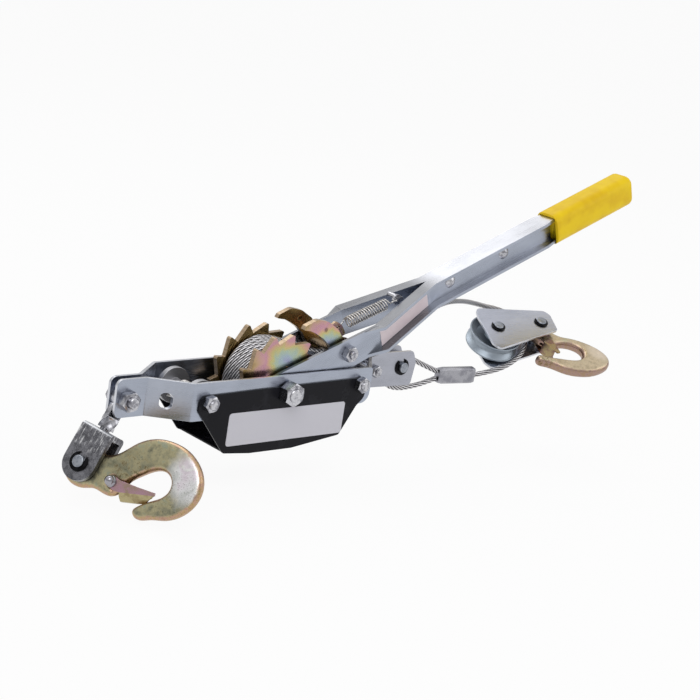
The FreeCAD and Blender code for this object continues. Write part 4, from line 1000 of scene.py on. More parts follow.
class RatchetPlate(ShapeTree):
    """Draws a toothed wheel from its tooth count and radii, with a bore and slots."""

    tooth_corners = 3
    corner_radius = 0.0006
    corner_points = 4
    bore_points = 48
    slot_points = 40
    weld = 0.00002

    def __init__(self) -> None:
        """Builds the tree; the wheel lies in the XY plane and rises along Z."""
        super().__init__("ratchet_plate")
        teeth = self.size("Teeth", "NodeSocketInt")
        tip = self.size("Tip Radius")
        root = self.size("Root Radius")
        lean = self.size("Face Lean")
        land = self.size("Land Angle")
        start = self.size("First Face Angle")
        thick = self.size("Thickness")
        bore = self.size("Bore Radius")
        index = self.make("GeometryNodeInputIndex")
        corner = self.math("MODULO", index, self.tooth_corners)
        tooth = self.math("FLOOR", index / self.tooth_corners)
        at_root = self.math("LESS_THAN", corner, 0.5)
        at_heel = self.math("GREATER_THAN", corner, 1.5)
        radius = tip - at_root * (tip - root)
        angle = tooth * (FULL_TURN / teeth) + start + (1.0 - at_root) * lean + at_heel * land
        ring = self.circle(teeth * self.tooth_corners, 1.0)
        outline = self.make(
            "GeometryNodeSetPosition", None, {"Geometry": ring, "Position": self._polar(radius, angle)}
        )
        rounded = self.make(
            "GeometryNodeFilletCurve",
            {"mode": "POLY"},
            {"Curve": outline, "Count": self.corner_points, "Radius": self.corner_radius},
        )
        shape = self.join(rounded, self.circle(self.bore_points, bore), self._slots())
        face = self.make("GeometryNodeFillCurve", {"mode": "TRIANGLES"}, {"Curve": shape})
        body = self.make(
            "GeometryNodeExtrudeMesh",
            {"mode": "FACES"},
            {"Mesh": face, "Offset Scale": thick, "Individual": False},
        )
        floor = self.make("GeometryNodeFlipFaces", None, {"Mesh": face})
        whole = self.join(body, floor)
        welded = self.make("GeometryNodeMergeByDistance", None, {"Geometry": whole, "Distance": self.weld})
        self.finish(welded)

    def _polar(self, radius: Signal, angle: Signal) -> Signal:
        """The position at a radius and an angle in the XY plane.

        Args:
            radius: the radius.
            angle: the angle in radians.

        Returns:
            The position.
        """
        x = radius * self.math("COSINE", angle)
        y = radius * self.math("SINE", angle)
        return self.make("ShaderNodeCombineXYZ", None, {0: x, 1: y})

    def _slots(self) -> Signal:
        """Outlines of the curved slots, as rectangles bent round the axle, with the inputs for their sizes.

        Returns:
            The outlines.
        """
        count = self.size("Slots", "NodeSocketInt")
        inner = self.size("Slot Inner Radius")
        outer = self.size("Slot Outer Radius")
        angle = self.size("Slot Angle")
        middle = self.size("First Slot Angle")
        box = self.make(
            "GeometryNodeCurvePrimitiveQuadrilateral",
            {"mode": "RECTANGLE"},
            {"Width": outer - inner, "Height": angle},
        )
        fine = self.make(
            "GeometryNodeResampleCurve", {"mode": "COUNT"}, {"Curve": box, "Count": self.slot_points}
        )
        copies, share = self.copies(fine, count)
        here = self.node("ShaderNodeSeparateXYZ", None, {0: self.make("GeometryNodeInputPosition")})
        radius = Signal(self, here.outputs[0]) + (inner + outer) / 2
        turn = Signal(self, here.outputs[1]) + (share * FULL_TURN + middle)
        return self.make(
            "GeometryNodeSetPosition", None, {"Geometry": copies, "Position": self._polar(radius, turn)}
        )


class ScrewThread(ShapeTree):
    """Winds a thread's ridge up a bolt's end."""

    turn_points = 28
    ridge_sides = 4

    def __init__(self) -> None:
        """Builds the tree; the thread climbs along Z."""
        super().__init__("screw_thread")
        turns = self.size("Turns")
        radius = self.size("Radius")
        pitch = self.size("Pitch")
        ridge = self.size("Ridge")
        path = self.make(
            "GeometryNodeCurveSpiral",
            None,
            {
                "Resolution": self.turn_points,
                "Rotations": turns,
                "Start Radius": radius,
                "End Radius": radius,
                "Height": turns * pitch,
            },
        )
        self.finish(self.tube(path, self.circle(self.ridge_sides, ridge)))


@dataclass
class Workshop:
    """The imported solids, and what turns them into finished pieces."""

    frame: dict[str, Any]
    made: list[str] = field(default_factory=list)
    trees: dict[type[ShapeTree], ShapeTree] = field(default_factory=dict)
    weld: float = 2e-6
    flat_angle: float = 0.2
    wall_facing: float = 0.5
    worn_passes: int = 6

    def body_of(self, node: str) -> str:
        """The body that a solid rides on.

        Args:
            node: the solid's name.

        Returns:
            The body's name.
        """
        for body, nodes in self.frame["record"]["behaviour"]["bodies"].items():
            if node in nodes:
                return body
        raise KeyError(node)

    def route(self, name: str, points: Iterable[Point]) -> bpy.types.Object:
        """A smooth line whose control points are a route's points.

        Args:
            name: the curve's name.
            points: the route in millimetres.

        Returns:
            The curve object.
        """
        data = bpy.data.curves.new(name, "CURVE")
        data.dimensions = "3D"
        data.resolution_u = 12
        spline = data.splines.new("NURBS")
        places = [at(*point) for point in points]
        spline.points.add(len(places) - 1)
        for control, place in zip(spline.points, places):
            control.co = (*place, 1.0)
        spline.order_u = 3
        spline.use_endpoint_u = True
        return put_in_scene(name, data)

    def grow(self, piece: bpy.types.Object, maker: type[ShapeTree], finish: Palette,
             **sizes: Any) -> bpy.types.Object:
        """Runs a Geometry Nodes tree on an object and keeps the result as a plain mesh.

        Args:
            piece: a curve or mesh object, which is removed.
            maker: the tree's class; its tree is built on first use.
            finish: the finish that the tree sets.
            sizes: the tree's named inputs with _ for spaces.

        Returns:
            The new mesh object.
        """
        if maker not in self.trees:
            self.trees[maker] = maker()
        tree = self.trees[maker]
        modifier = piece.modifiers.new("grow", "NODES")
        modifier.node_group = tree.group
        names = tree.identifiers()
        for name, value in sizes.items():
            modifier[names[name.replace("_", " ")]] = value
        modifier[names["Material"]] = finish.value.material()
        mesh = evaluated_mesh(piece)
        name = piece.name
        bpy.data.objects.remove(piece)
        grown = put_in_scene(name, mesh)
        mesh.name = name
        return grown

    def keep(self, piece: bpy.types.Object, body: str, finish: Palette, *nodes: str) -> bpy.types.Object:
        """Gives a piece its finish, its body and the solids that it stands for.

        Args:
            piece: the finished piece.
            body: the body that it rides on, or nothing for a piece that rides on none.
            finish: its finish.
            nodes: the solids that it replaces.

        Returns:
            The piece.
        """
        piece.data.materials.clear()
        piece.data.materials.append(finish.value.material())
        if body:
            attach(piece, body)
        if nodes:
            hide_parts(*nodes)
        self.made.append(piece.name)
        return piece

    def copy_of(self, node: str) -> bpy.types.Object:
        """A copy of a solid, with its loose triangles joined into whole faces.

        Args:
            node: the solid's name.

        Returns:
            The new object.
        """
        mesh = self.frame["nodes"][node].data.copy()
        work = bmesh.new()
        work.from_mesh(mesh)
        bmesh.ops.remove_doubles(work, verts=work.verts, dist=self.weld)
        bmesh.ops.dissolve_limit(
            work, angle_limit=math.radians(self.flat_angle), use_dissolve_boundaries=False,
            verts=work.verts, edges=work.edges)
        work.to_mesh(mesh)
        work.free()
        return put_in_scene(node + "_piece", mesh)

    def dress(self, node: str, finish: Palette, edge: float = 0.3, steps: int = 2,
              limit: float = 32.0) -> bpy.types.Object:
        """Stands a piece with rounded edges in a solid's place.

        Args:
            node: the solid's name.
            finish: the piece's finish.
            edge: the edges' rounding in millimetres.
            steps: faces across each rounding.
            limit: the least angle, in degrees, at which an edge counts as one.

        Returns:
            The new piece.
        """
        piece = self.copy_of(node)
        self.round_edges(piece, edge, steps, limit)
        return self.keep(piece, self.body_of(node), finish, node)

    def carry(self, piece: bpy.types.Object, name: str, values: Sequence[float]) -> None:
        """Writes one value for each vertex of a piece's mesh."""
        piece.data.attributes.new(name, "FLOAT", "POINT").data.foreach_set("value", values)

    def settle(self, piece: bpy.types.Object) -> None:
        """Applies a piece's modifiers to its mesh.

        Args:
            piece: the mesh object.
        """
        mesh = evaluated_mesh(piece)
        piece.modifiers.clear()
        piece.data = mesh

    def forge(self, node: str, finish: Palette, cell: float = 0.8, bevel: float = 6.0,
              rim: float = 0.62) -> bpy.types.Object:
        """Stands a forging in a flat solid's place: crowned in the middle, thin at its edges and worn smooth.

        Args:
            node: the solid's name.
            finish: the piece's finish.
            cell: the new mesh's cell in millimetres.
            bevel: how far in from its edge the forging reaches its full thickness, in millimetres.
            rim: the edge's thickness as a share of the full one.

        Returns:
            The new piece.
        """
        piece = self.copy_of(node)
        source = piece.data
        way = max(source.polygons, key=lambda polygon: polygon.area).normal.copy()
        levels = [vertex.co.dot(way) for vertex in source.vertices]
        middle = (min(levels) + max(levels)) / 2
        cells = piece.modifiers.new("cells", "REMESH")
        cells.mode = "VOXEL"
        cells.voxel_size = cell * MM
        self.settle(piece)
        mesh = piece.data
        flats = [vertex.co - way * (vertex.co.dot(way) - middle) for vertex in mesh.vertices]
        wall = [vertex.index for vertex in mesh.vertices if abs(vertex.normal.dot(way)) < self.wall_facing]
        near = KDTree(len(wall))
        for index in wall:
            near.insert(flats[index], index)
        near.balance()
        inside: list[float] = []
        for vertex, flat in zip(mesh.vertices, flats):
            share = min(near.find(flat)[2] / (bevel * MM), 1.0)
            inside.append(share)
            crown = rim + (1.0 - rim) * math.sqrt(share * (2.0 - share))
            vertex.co = flat + (vertex.co - flat) * crown
        self.carry(piece, "inside", inside)
        worn = piece.modifiers.new("worn", "SMOOTH")
        worn.factor = 0.5
        worn.iterations = self.worn_passes
        self.settle(piece)
        piece.data.polygons.foreach_set("use_smooth", [True] * len(piece.data.polygons))
        return self.keep(piece, self.body_of(node), finish, node)

    @staticmethod
    def round_edges(piece: bpy.types.Object, edge: float, steps: int, limit: float) -> None:
        """Rounds a mesh's edges and shades it smooth between them.

        Args:
            piece: the mesh object.
            edge: the rounding in millimetres, or 0 for none.
            steps: faces across each rounding.
            limit: the least angle, in degrees, at which an edge counts as one.
        """
        mesh = piece.data
        mesh.polygons.foreach_set("use_smooth", [True] * len(mesh.polygons))
        mesh.set_sharp_from_angle(angle=math.radians(limit))
        if edge > 0:
            bevel = piece.modifiers.new("edges", "BEVEL")
            bevel.width = edge * MM
            bevel.segments = steps
            bevel.limit_method = "ANGLE"
            bevel.angle_limit = math.radians(limit)
            bevel.harden_normals = True
            bevel.miter_outer = "MITER_ARC"


@dataclass
class Studio:
    """Camera, pale floor and soft light."""

    camera_at: Point = (-1.03030, -1.16418, 0.51080)
    camera_right: Point = (0.73774, -0.65673, 0.15631)
    camera_up: Point = (0.06198, 0.29647, 0.95303)
    camera_back: Point = (-0.67223, -0.69340, 0.25942)
    lens: float = 93.91
    film: float = 36.0
    nearest: float = 0.05
    farthest: float = 50.0
    floor_z: float = -0.0345
    floor_side: float = 60.0
    floor_colour: Colour = (0.86, 0.86, 0.86)
    floor_glow: float = 0.93
    sky_strength: float = 0.5
    dusk_top: float = 0.75
    dusk_level: float = 0.45
    target: Point = (0.1, 0.0, 0.06)
    lamps: tuple[tuple[str, Point, float, float], ...] = (
        ("key_light", (-1.1, -1.2, 1.9), 1.5, 15.0),
        ("fill_light", (1.6, -1.1, 0.9), 1.2, 5.0),
        ("top_light", (0.3, 0.9, 1.7), 1.2, 8.0))

    def camera(self) -> None:
        """Stands the camera where the photograph's was."""
        data = bpy.data.cameras.new("photo_camera")
        data.lens = self.lens
        data.sensor_width = self.film
        data.clip_start = self.nearest
        data.clip_end = self.farthest
        camera = put_in_scene("photo_camera", data)
        axes = [Vector(way) for way in (self.camera_right, self.camera_up, self.camera_back)]
        turn = Matrix(axes).transposed().to_quaternion().to_matrix().to_4x4()
        camera.matrix_world = Matrix.Translation(self.camera_at) @ turn
        bpy.context.scene.camera = camera

    def seen(self, tree: NodeTree) -> Signal:
        """A value that is 1 for camera, mirror and see-through rays.

        Args:
            tree: the tree that needs it.

        Returns:
            The value.
        """
        rays = tree.node("ShaderNodeLightPath")
        result = Signal(tree, rays.outputs["Is Camera Ray"])
        for name in ("Is Glossy Ray", "Is Transmission Ray"):
            result = tree.math("MAXIMUM", result, Signal(tree, rays.outputs[name]))
        return result

    def world(self) -> None:
        """A white backdrop for the eye, dimmer near the horizon for metal, and a soft sky for the light."""
        world = bpy.data.worlds.new("studio")
        bpy.context.scene.world = world
        world.use_nodes = True
        tree = NodeTree(world.node_tree)
        tree.nodes.clear()
        way = tree.make("ShaderNodeTexCoord", output="Generated")
        dusk = tree.make(
            "ShaderNodeMapRange",
            None,
            {
                "Value": tree.make("ShaderNodeSeparateXYZ", None, {0: way}, "Z"),
                "From Max": self.dusk_top,
                "To Min": self.dusk_level,
            },
            "Result",
        )
        eye = tree.make("ShaderNodeLightPath", output="Is Camera Ray")
        light, backdrop = [
            tree.make("ShaderNodeBackground", None, {"Color": rgba(WHITE), "Strength": strength})
            for strength in (self.sky_strength, tree.math("MAXIMUM", dusk, eye))]
        choice = tree.make("ShaderNodeMixShader", None, {0: self.seen(tree), 1: light, 2: backdrop})
        tree.node("ShaderNodeOutputWorld", None, {"Surface": choice})

    def floor(self) -> None:
        """A pale floor that keeps the object's shadow."""
        bpy.ops.mesh.primitive_plane_add(size=self.floor_side, location=(0.0, 0.0, self.floor_z))
        floor = bpy.context.object
        floor.name = "floor"
        material = bpy.data.materials.new("pale_floor")
        material.use_nodes = True
        tree = NodeTree(material.node_tree)
        tree.nodes.clear()
        matt = tree.make("ShaderNodeBsdfDiffuse", None, {"Color": rgba(self.floor_colour)})
        glow = tree.make("ShaderNodeEmission", None, {"Strength": 1.0})
        share = self.seen(tree) * self.floor_glow
        choice = tree.make("ShaderNodeMixShader", None, {0: share, 1: matt, 2: glow})
        tree.node("ShaderNodeOutputMaterial", None, {"Surface": choice})
        floor.data.materials.append(material)

    def lamp(self, name: str, place: Point, size: float, watts: float) -> None:
        """A square soft box that faces the puller.

        Args:
            name: the lamp's name.
            place: where it stands, in metres.
            size: its side, in metres.
            watts: its power.
        """
        data = bpy.data.lights.new(name, "AREA")
        data.size = size
        data.energy = watts
        way = Vector(self.target) - Vector(place)
        turn = way.to_track_quat("-Z", "Y").to_matrix().to_4x4()
        put_in_scene(name, data).matrix_world = Matrix.Translation(place) @ turn

    def build(self) -> None:
        """Everything round the object."""
        bpy.context.scene.view_settings.view_transform = "Standard"
        self.camera()
        self.world()
        self.floor()
        for lamp in self.lamps:
            self.lamp(*lamp)


@dataclass
class WireRope:
    """The hauling rope: its free run, its eye, their ferrule and the layer wound on the drum."""

    shop: Workshop
    run_route: tuple[Point, ...] = (
        (29.2, 13.3, 30.2), (56, 13.3, 23.2), (80, 11, 17.5), (106, 7, 18.5), (132, 3.5, 24), (155, 1, 35),
        (177, 0, 48), (199, 0, 57.5), (225, 10.6, 58.3), (253.3, 23.6, 54.7), (280.7, 34.2, 49.9),
        (301, 38.6, 45.1), (315.4, 41, 41.4), (328, 37, 39.6), (338, 27.2, 36.6), (341.8, 14, 29.7),
        (337.9, 1.3, 21.2), (329.5, -9.2, 13.7), (316.1, -16.2, 6.3), (297.1, -18.9, -1.5),
        (281.6, -14.3, -7.7), (264.9, -6.2, -12.6))
    eye_route: tuple[Point, ...] = (
        (217.6, 0, -7.2), (204, 0, -2), (186, 0, 5.5), (167.5, 0, 12.3), (151.5, 0, 12.3), (143.5, 0, -2),
        (151.5, 0, -16.8), (170, 0, -21.2), (189, 0, -20), (204.5, 0, -17.6), (217.6, 0, -14.8))
    run_length: float = 0.450
    eye_length: float = 0.1655
    strands: int = 6
    strand_sides: int = 8
    strand_share: float = 1.12
    lay_share: float = 2.04
    crown_share: float = 1.05
    lay: float = 38.0
    wind_lay: float = 36.0
    lay_step: float = 1.8
    line_steps: int = 6
    swell: float = 1.02
    wind_radius: float = 36.5
    wind_pitch: float = 5.3
    wind_turns: int = 5
    wind_steps: int = 24
    leave_angle: float = 75.5
    tail: float = 20.7
    tail_shares: tuple[float, ...] = (1.0, 0.6, 0.25)

    def line(self, curve: bpy.types.Object) -> list[Point]:
        """The points along a route's smooth line.

        Args:
            curve: the route's curve.

        Returns:
            The points in metres.
        """
        mesh = evaluated_mesh(curve)
        points = [tuple(vertex.co) for vertex in mesh.vertices]
        bpy.data.meshes.remove(mesh)
        return points

    def strand(self, curve: bpy.types.Object, lay: float, swell: float) -> bpy.types.Object:
        """Strands laid round a line, in the line's place; each vertex carries how far out it lies.

        Args:
            curve: the line, which is removed.
            lay: the length of one turn of a strand, in millimetres.
            swell: how much looser than solid the strands lie.

        Returns:
            The strands' mesh.
        """
        path = [Vector(point) for point in self.line(curve)]
        steps = self.line_steps
        middle = KDTree((len(path) - 1) * steps)
        for index, (here, following) in enumerate(zip(path, path[1:])):
            for step in range(steps):
                middle.insert(here.lerp(following, step / steps), index * steps + step)
        middle.balance()
        radius = ROPE / self.strands * MM * swell
        piece = self.shop.grow(
            curve, LaidWires, Palette.ROPE_STEEL, Wires=self.strands, Wire_Radius=radius * self.strand_share,
            Lay_Radius=radius * self.lay_share, Lay_Length=lay * MM, Step=self.lay_step * MM,
            Sides=self.strand_sides)
        outer = ROPE / 2 * MM * swell * self.crown_share
        # How far out each vertex lies; the rope's finish darkens the deep ones as painted shade.
        outward = [middle.find(vertex.co)[2] / outer for vertex in piece.data.vertices]
        self.shop.carry(piece, "outward", outward)
        return piece

    def free(self, node: str, route: Iterable[Point], length: float,
             with_pieces: Sequence[Any]) -> bpy.types.Object:
        """One free length of the rope.

        Args:
            node: the solid that it replaces.
            route: its route in millimetres.
            length: its real length in metres; not used.
            with_pieces: the pieces on it; not used.

        Returns:
            The rope's mesh.
        """
        curve = self.shop.route(node + "_strands", route)
        path = self.line(curve)
        piece = self.strand(curve, self.lay, self.swell)
        self.shop.keep(piece, "root", Palette.ROPE_STEEL, node)
        return piece

    def winding(self) -> None:
        """The outer layer round the drum, with its tail up to the free run."""
        leave = math.radians(self.leave_angle)
        middle = self.wind_pitch * self.wind_turns / 2
        points: list[Point] = []
        for index in range(self.wind_steps * self.wind_turns + 1):
            turn = index / self.wind_steps
            angle = leave + FULL_TURN * turn
            y = middle - self.wind_pitch * turn
            points.append((self.wind_radius * math.cos(angle), y, self.wind_radius * math.sin(angle)))
        x, y, z = points[0]
        reaches = [self.tail * share for share in self.tail_shares]
        run = [(x + math.sin(leave) * far, y, z - math.cos(leave) * far) for far in reaches]
        curve = self.shop.route("rope_winding_strands", run + points)
        self.shop.keep(self.strand(curve, self.wind_lay, 1.0), "drum", Palette.ROPE_STEEL, "rope_winding")

    def build(self) -> None:
        """Makes the rope's pieces."""
        ferrule = self.shop.dress("rope_ferrule", Palette.FERRULE_ALUMINIUM, 0.5, 3, 20.0)
        self.free("rope_run", self.run_route, self.run_length, [ferrule])
        self.free("rope_eye", self.eye_route, self.eye_length, [])
        self.winding()


@dataclass
class PlainPieces:
    """Pieces whose solids already have the right shape, with their finish and rounding in millimetres."""

    shop: Workshop
    edges: dict[str, tuple[Palette, float]] = field(default_factory=lambda: {
        "near_side_plate": (Palette.FRAME_ZINC, 0.45),
        "far_side_plate": (Palette.FRAME_ZINC, 0.45),
        "belly_cover": (Palette.COVER_BLACK, 0.4),
        "cover_label": (Palette.LABEL_GREY, 0.15),
        "head_bolt": (Palette.FASTENER_ZINC, 0.25),
        "head_nut": (Palette.FASTENER_ZINC, 0.25),
        "axle_bolt": (Palette.FASTENER_ZINC, 0.25),
        "axle_nut": (Palette.FASTENER_ZINC, 0.3),
        "axle_washers": (Palette.FASTENER_ZINC, 0.2),
        "cover_bolts": (Palette.FASTENER_ZINC, 0.25),
        "cover_nuts": (Palette.FASTENER_ZINC, 0.25),
        "rear_spacer": (Palette.FASTENER_ZINC, 0.25),
        "near_anchor_plate": (Palette.BRACKET_ZINC, 0.4),
        "far_anchor_plate": (Palette.BRACKET_ZINC, 0.4),
        "anchor_bolt": (Palette.FASTENER_ZINC, 0.2),
        "anchor_nut": (Palette.FASTENER_ZINC, 0.2),
        "anchor_spacer": (Palette.FASTENER_ZINC, 0.2),
        "anchor_pin": (Palette.PIN_ZINC, 0.2),
        "anchor_pin_clips": (Palette.CLIP_BLACK, 0.15),
        "stop_pawl": (Palette.PAWL_STEEL, 0.4),
        "stop_pawl_spring": (Palette.SPRING_WIRE, 0.0),
        "near_handle_half": (Palette.LEVER_ZINC, 0.45),
        "far_handle_half": (Palette.LEVER_ZINC, 0.45),
        "handle_rivets": (Palette.FASTENER_ZINC, 0.2),
        "handle_grip": (Palette.GRIP_YELLOW, 0.8),
        "handle_label": (Palette.STICKER_WHITE, 0.1),
        "pawl_bolt": (Palette.FASTENER_ZINC, 0.25),
        "pawl_nut": (Palette.FASTENER_ZINC, 0.25),
        "spring_post": (Palette.FASTENER_ZINC, 0.2),
        "drive_pawl": (Palette.PAWL_CHROMATE, 0.5),
        "drum_sleeve": (Palette.BROWN_CHROMATE, 0.3),
        "rope_core": (Palette.CLIP_BLACK, 0.0),
        "head_link": (Palette.LINK_ZINC, 0.6),
        "clevis": (Palette.CLEVIS_ZINC, 0.7),
        "clevis_pin": (Palette.PIN_ZINC, 0.3),
        "clevis_clips": (Palette.CLIP_BLACK, 0.15),
        "anchor_latch_rivet": (Palette.BALL_STEEL, 0.1),
        "anchor_latch_spring": (Palette.SPRING_WIRE, 0.0),
        "pulley": (Palette.PULLEY_STEEL, 0.3),
        "load_latch_rivet": (Palette.BALL_STEEL, 0.1),
        "load_latch": (Palette.BROWN_CHROMATE, 0.25),
        "load_latch_spring": (Palette.SPRING_WIRE, 0.0),
        "block_near_plate": (Palette.BLOCK_ZINC, 0.4),
        "block_far_plate": (Palette.BLOCK_ZINC, 0.4),
        "pulley_pin": (Palette.PIN_ZINC, 0.3),
        "hook_pin": (Palette.PIN_ZINC, 0.3),
        "block_clips": (Palette.CLIP_BLACK, 0.15),
    })

    def build(self) -> None:
        """Makes each piece."""
        for node, (finish, edge) in self.edges.items():
            self.shop.dress(node, finish, edge)


@dataclass
class Drum:
    """The drum's two toothed wheels, drawn from their tooth count, with slots for the sleeve's tabs."""

    shop: Workshop
    teeth: int = 14
    tip_radius: float = 48.0
    root_radius: float = 40.0
    face_angle: float = 74.3
    face_lean: float = 4.0
    land_angle: float = 2.5
    inner_face: float = 16.0
    thickness: float = 5.0
    bore: float = 6.06
    slots: int = 3
    slot_radii: tuple[float, float] = (16.75, 20.25)
    slot_angle: float = 33.4
    slot_middle: float = 62.0
    edge: float = 0.45

    def wheel(self, name: str, start: float) -> None:
        """One wheel.

        Args:
            name: the solid that it replaces.
            start: its far face's distance behind the puller's middle, in millimetres.
        """
        piece = self.shop.grow(
            put_in_scene(name + "_piece", bpy.data.meshes.new(name)), RatchetPlate, Palette.RATCHET_CHROMATE,
            Teeth=self.teeth, Tip_Radius=self.tip_radius * MM, Root_Radius=self.root_radius * MM,
            Face_Lean=math.radians(self.face_lean), Land_Angle=math.radians(self.land_angle),
            First_Face_Angle=math.radians(self.face_angle), Thickness=self.thickness * MM,
            Bore_Radius=self.bore * MM, Slots=self.slots, Slot_Inner_Radius=self.slot_radii[0] * MM,
            Slot_Outer_Radius=self.slot_radii[1] * MM, Slot_Angle=math.radians(self.slot_angle),
            First_Slot_Angle=math.radians(self.slot_middle))
        piece.data.transform(Matrix.Translation(at(0.0, start, 0.0)) @ ALONG_BOLTS)
        self.shop.round_edges(piece, self.edge, 2, 32.0)
        self.shop.keep(piece, "drum", Palette.RATCHET_CHROMATE, name)

    def build(self) -> None:
        """Makes both wheels."""
        self.wheel("near_ratchet", -self.inner_face)
        self.wheel("far_ratchet", self.inner_face + self.thickness)


@dataclass
class BoltThreads:
    """The turns of thread that show past the nuts.

    Each end has its piece's name, its place along and above the axle, its radius and pitch, and how far on
    the near side the thread starts and ends, in millimetres.
    """

    shop: Workshop
    ridge: float = 0.42
    sunk: float = 0.35
    ends: tuple[tuple[str, float, float, float, float, float, float], ...] = (
        ("axle_thread", 0.0, 0.0, 6.0, 1.25, -43.9, -45.4),
        ("head_thread", -152.4, -3.4, 5.0, 1.25, -14.3, -18.0),
        ("left_cover_thread", -86.9, -2.7, 4.0, 1.0, -39.5, -41.5),
        ("right_cover_thread", 85.8, 0.6, 4.0, 1.0, -39.5, -41.5),
        ("anchor_thread", 123.8, 3.2, 3.0, 0.8, -15.5, -17.5))

    def build(self) -> None:
        """Winds each thread's ridge round its bolt's end."""
        for name, x, z, radius, pitch, start, end in self.ends:
            turns = (start - end - 2 * self.ridge) / pitch
            piece = self.shop.grow(
                put_in_scene(name, bpy.data.meshes.new(name)), ScrewThread, Palette.FASTENER_ZINC,
                Turns=turns, Radius=(radius - self.ridge * self.sunk) * MM, Pitch=pitch * MM,
                Ridge=self.ridge * MM)
            piece.data.transform(Matrix.Translation(at(x, start - self.ridge, z)) @ ALONG_BOLTS)
            self.shop.keep(piece, "root", Palette.FASTENER_ZINC)


@dataclass
class PawlSpring:
    """The extension spring between the drive pawl's tab and the post on the lever.

    The corners of an end hook are counted along, over and beside the spring: its eye from the tab's hole, and
    its neck from the first coil. The other hook is the same one turned round.
    """

    shop: Workshop
    tab_hole: Point = (70.0, -8.0, 48.0)
    post: Point = (140.0, -5.8, 70.0)
    hook: float = 13.0
    coil: float = 4.9
    wire: float = 1.35
    turns: int = 16
    steps: int = 18
    eye: tuple[Point, ...] = ((0.0, 2.6, 0.0), (-1.6, 0.0, 0.0), (1.4, -2.8, 0.0), (5.0, -0.6, 0.0))
    neck: tuple[Point, ...] = ((-3.0, -3.4, 0.0), (-0.6, -3.4, 3.4))

    def centre_line(self) -> list[Point]:
        """The wire's route: a hook, the open coils and the other hook.

        Returns:
            The route's points in millimetres.
        """
        first, last = Vector(self.tab_hole), Vector(self.post)
        axis = (last - first).normalized()
        side = axis.cross(Vector(SIDEWAYS)).normalized()
        up = axis.cross(side)
        begin = first + axis * self.hook
        pitch = ((last - first).length - 2 * self.hook) / self.turns
        ring: list[Vector] = []
        for index in range(self.turns * self.steps + 1):
            turn = index / self.steps
            out = side * math.cos(FULL_TURN * turn) + up * math.sin(FULL_TURN * turn)
            ring.append(begin + axis * (pitch * turn) + out * self.coil)
        ends: list[list[Vector]] = []
        for eye_at, neck_at, sign in ((first, begin, 1), (last, ring[-1] - side * self.coil, -1)):
            ends.append([
                spot + axis * (along * sign) + up * (over * sign) + side * beside
                for spot, corners in ((eye_at, self.eye), (neck_at, self.neck))
                for along, over, beside in corners])
        return [tuple(spot) for spot in ends[0] + ring + ends[1][::-1]]

    def build(self) -> None:
        """Makes the spring."""
        curve = self.shop.route("pawl_spring_wire", self.centre_line())
        curve.data.resolution_u = 2
        curve.data.bevel_depth = self.wire / 2 * MM
        curve.data.bevel_resolution = 3
        curve.data.use_fill_caps = True
        mesh = evaluated_mesh(curve)
        bpy.data.objects.remove(curve)
        piece = put_in_scene("pawl_spring_coils", mesh)
        self.shop.round_edges(piece, 0.0, 0, 50.0)
        self.shop.keep(piece, "", Palette.SPRING_WIRE, "pawl_spring")
        tuple(at(*self.tab_hole))
        tuple(at(*self.post))
        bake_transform(piece)


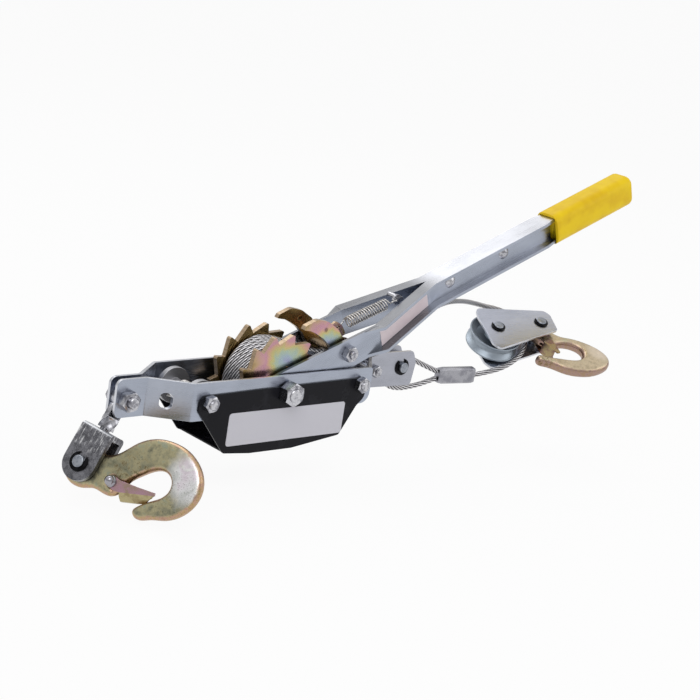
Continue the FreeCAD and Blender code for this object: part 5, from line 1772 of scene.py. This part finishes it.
@dataclass
class Hooks:
    """The two forged hooks, and the big one's pressed latch with its ball-headed rivet."""

    shop: Workshop
    pin_at: Point = (-181.4, 0.0, -59.3)
    swing: float = 27.4
    turn: float = -72.0
    rivet_at: Point = (33.6, 0.0, -1.0)
    cheek: tuple[tuple[float, float], ...] = (
        (29.0, -3.2), (28.6, 0.2), (30.6, 3.2), (34.2, 4.2), (40.6, 3.2), (74.4, 7.6), (76.0, 6.2),
        (75.0, 5.4), (45.0, -5.7), (41.0, -6.6), (34.0, -6.2))
    sheet: float = 1.2
    half_width: float = 7.1
    crease_from: tuple[float, float] = (44.6, -5.6)
    crease_to: tuple[float, float] = (75.2, 5.7)
    web: tuple[tuple[float, float], ...] = (
        (-7.0, 0.0), (-5.6, -3.6), (-1.8, -6.9), (1.8, -6.9), (5.6, -3.6), (7.0, 0.0),
        (5.8, 0.0), (4.6, -2.9), (1.4, -5.7), (-1.4, -5.7), (-4.6, -2.9), (-5.8, 0.0))
    chamfer: float = 1.4
    far_short: float = 8.0
    ball: float = 5.3
    ball_sunk: float = 0.4
    ball_flat: float = 0.85

    @property
    def place(self) -> Matrix:
        """The big hook's frame: its origin on the pin, its plane across Y.

        Returns:
            The frame's matrix, in metres.
        """
        swing = Matrix.Rotation(math.radians(self.swing), 4, "Y")
        turn = Matrix.Rotation(math.radians(self.turn), 4, "Z")
        return Matrix.Translation(at(*self.pin_at)) @ (swing @ turn)

    def solid(self, work: bmesh.types.BMesh, near: Sequence[Point], far: Sequence[Point], fold: bool) -> None:
        """A closed body between two outlines with as many corners.

        Args:
            work: the mesh to add it to.
            near: the first outline, in the hook's frame, in millimetres.
            far: the second outline.
            fold: whether the outlines are folded strips, whose ends take one face between each pair of sides.
        """
        rings = [[work.verts.new(Vector(corner) * MM) for corner in outline] for outline in (near, far)]
        count = len(near)
        for index in range(count):
            following = (index + 1) % count
            work.faces.new((rings[0][index], rings[0][following], rings[1][following], rings[1][index]))
        for ring in rings:
            if not fold:
                work.faces.new(ring)
                continue
            for index in range(count // 2 - 1):
                last = count - 1 - index
                work.faces.new((ring[index], ring[index + 1], ring[last - 1], ring[last]))

    def finish(self, work: bmesh.types.BMesh, name: str, node: str, finish: Palette, edge: float,
               stands: bool) -> None:
        """Turns a mesh drawn in the hook's frame into a piece.

        Args:
            work: the mesh, which is freed.
            name: the piece's name.
            node: the solid whose body it rides on.
            finish: its finish.
            edge: the rounding of its edges, in millimetres.
            stands: whether it replaces that solid.
        """
        bmesh.ops.recalc_face_normals(work, faces=work.faces)
        mesh = bpy.data.meshes.new(name)
        work.to_mesh(mesh)
        work.free()
        mesh.transform(self.place)
        piece = put_in_scene(name, mesh)
        self.shop.round_edges(piece, edge, 3, 25.0)
        self.shop.keep(piece, self.shop.body_of(node), finish, *((node,) if stands else ()))

    def cheeks(self) -> None:
        """The latch's two cheeks, the far one shorter so that the near one hides it."""
        work = bmesh.new()
        reach = max(x for x, _ in self.cheek)
        for side, limit in ((-1, reach), (1, reach - self.far_short)):
            outer, inner = side * self.half_width, side * (self.half_width - self.sheet)
            rim = [(min(x, limit), z) for x, z in self.cheek]
            self.solid(work, [(x, outer, z) for x, z in rim], [(x, inner, z) for x, z in rim], False)
        self.finish(work, "anchor_latch_cheeks", "anchor_latch", Palette.PINK_CHROMATE, 0.25, True)

    def fold(self) -> None:
        """The web that closes the latch underneath and hangs past the hook's tip."""
        work = bmesh.new()
        begin, stop = Vector(self.crease_from), Vector(self.crease_to)
        along = (stop - begin).normalized()
        down = Vector((along.y, -along.x))
        outlines: list[list[Point]] = []
        for corner, lean in ((begin, 0.0), (stop, self.chamfer)):
            outline = []
            for y, depth in self.web:
                short = self.far_short if lean and y > 0 else 0.0
                spot = corner - down * depth + along * (depth * lean - short)
                outline.append((spot.x, y, spot.y))
            outlines.append(outline)
        self.solid(work, outlines[0], outlines[1], True)
        self.finish(work, "anchor_latch_web", "anchor_latch", Palette.GOLD_CHROMATE, 0.3, False)

    def balls(self) -> None:
        """The two flattened balls that head the latch's rivet."""
        work = bmesh.new()
        flat = Matrix.Diagonal((1.0, self.ball_flat, 1.0, 1.0))
        x, _, z = self.rivet_at
        for side in (-1, 1):
            spot = Matrix.Translation(Vector((x, side * (self.half_width - self.ball_sunk), z)) * MM)
            bmesh.ops.create_uvsphere(
                work, u_segments=32, v_segments=20, radius=self.ball * MM, matrix=spot @ flat)
        self.finish(work, "anchor_latch_balls", "anchor_latch_rivet", Palette.BALL_STEEL, 0.0, False)

    def build(self) -> None:
        """Makes both hooks, the latch and the balls."""
        self.shop.forge("anchor_hook", Palette.ANCHOR_FORGING)
        self.shop.forge("load_hook", Palette.LOAD_FORGING, 0.7, 5.0)
        self.cheeks()
        self.fold()
        self.balls()


def main() -> None:
    """Builds the stage, then every piece of the puller."""
    logging.basicConfig(level=logging.INFO, format="%(name)s: %(message)s")
    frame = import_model()
    shop = Workshop(frame)
    Studio().build()
    for maker in (WireRope, Hooks, PawlSpring, Drum, BoltThreads, PlainPieces):
        maker(shop).build()
        log.info("%s done, %d pieces so far", maker.__name__, len(shop.made))


if __name__ == "__main__":
    main()
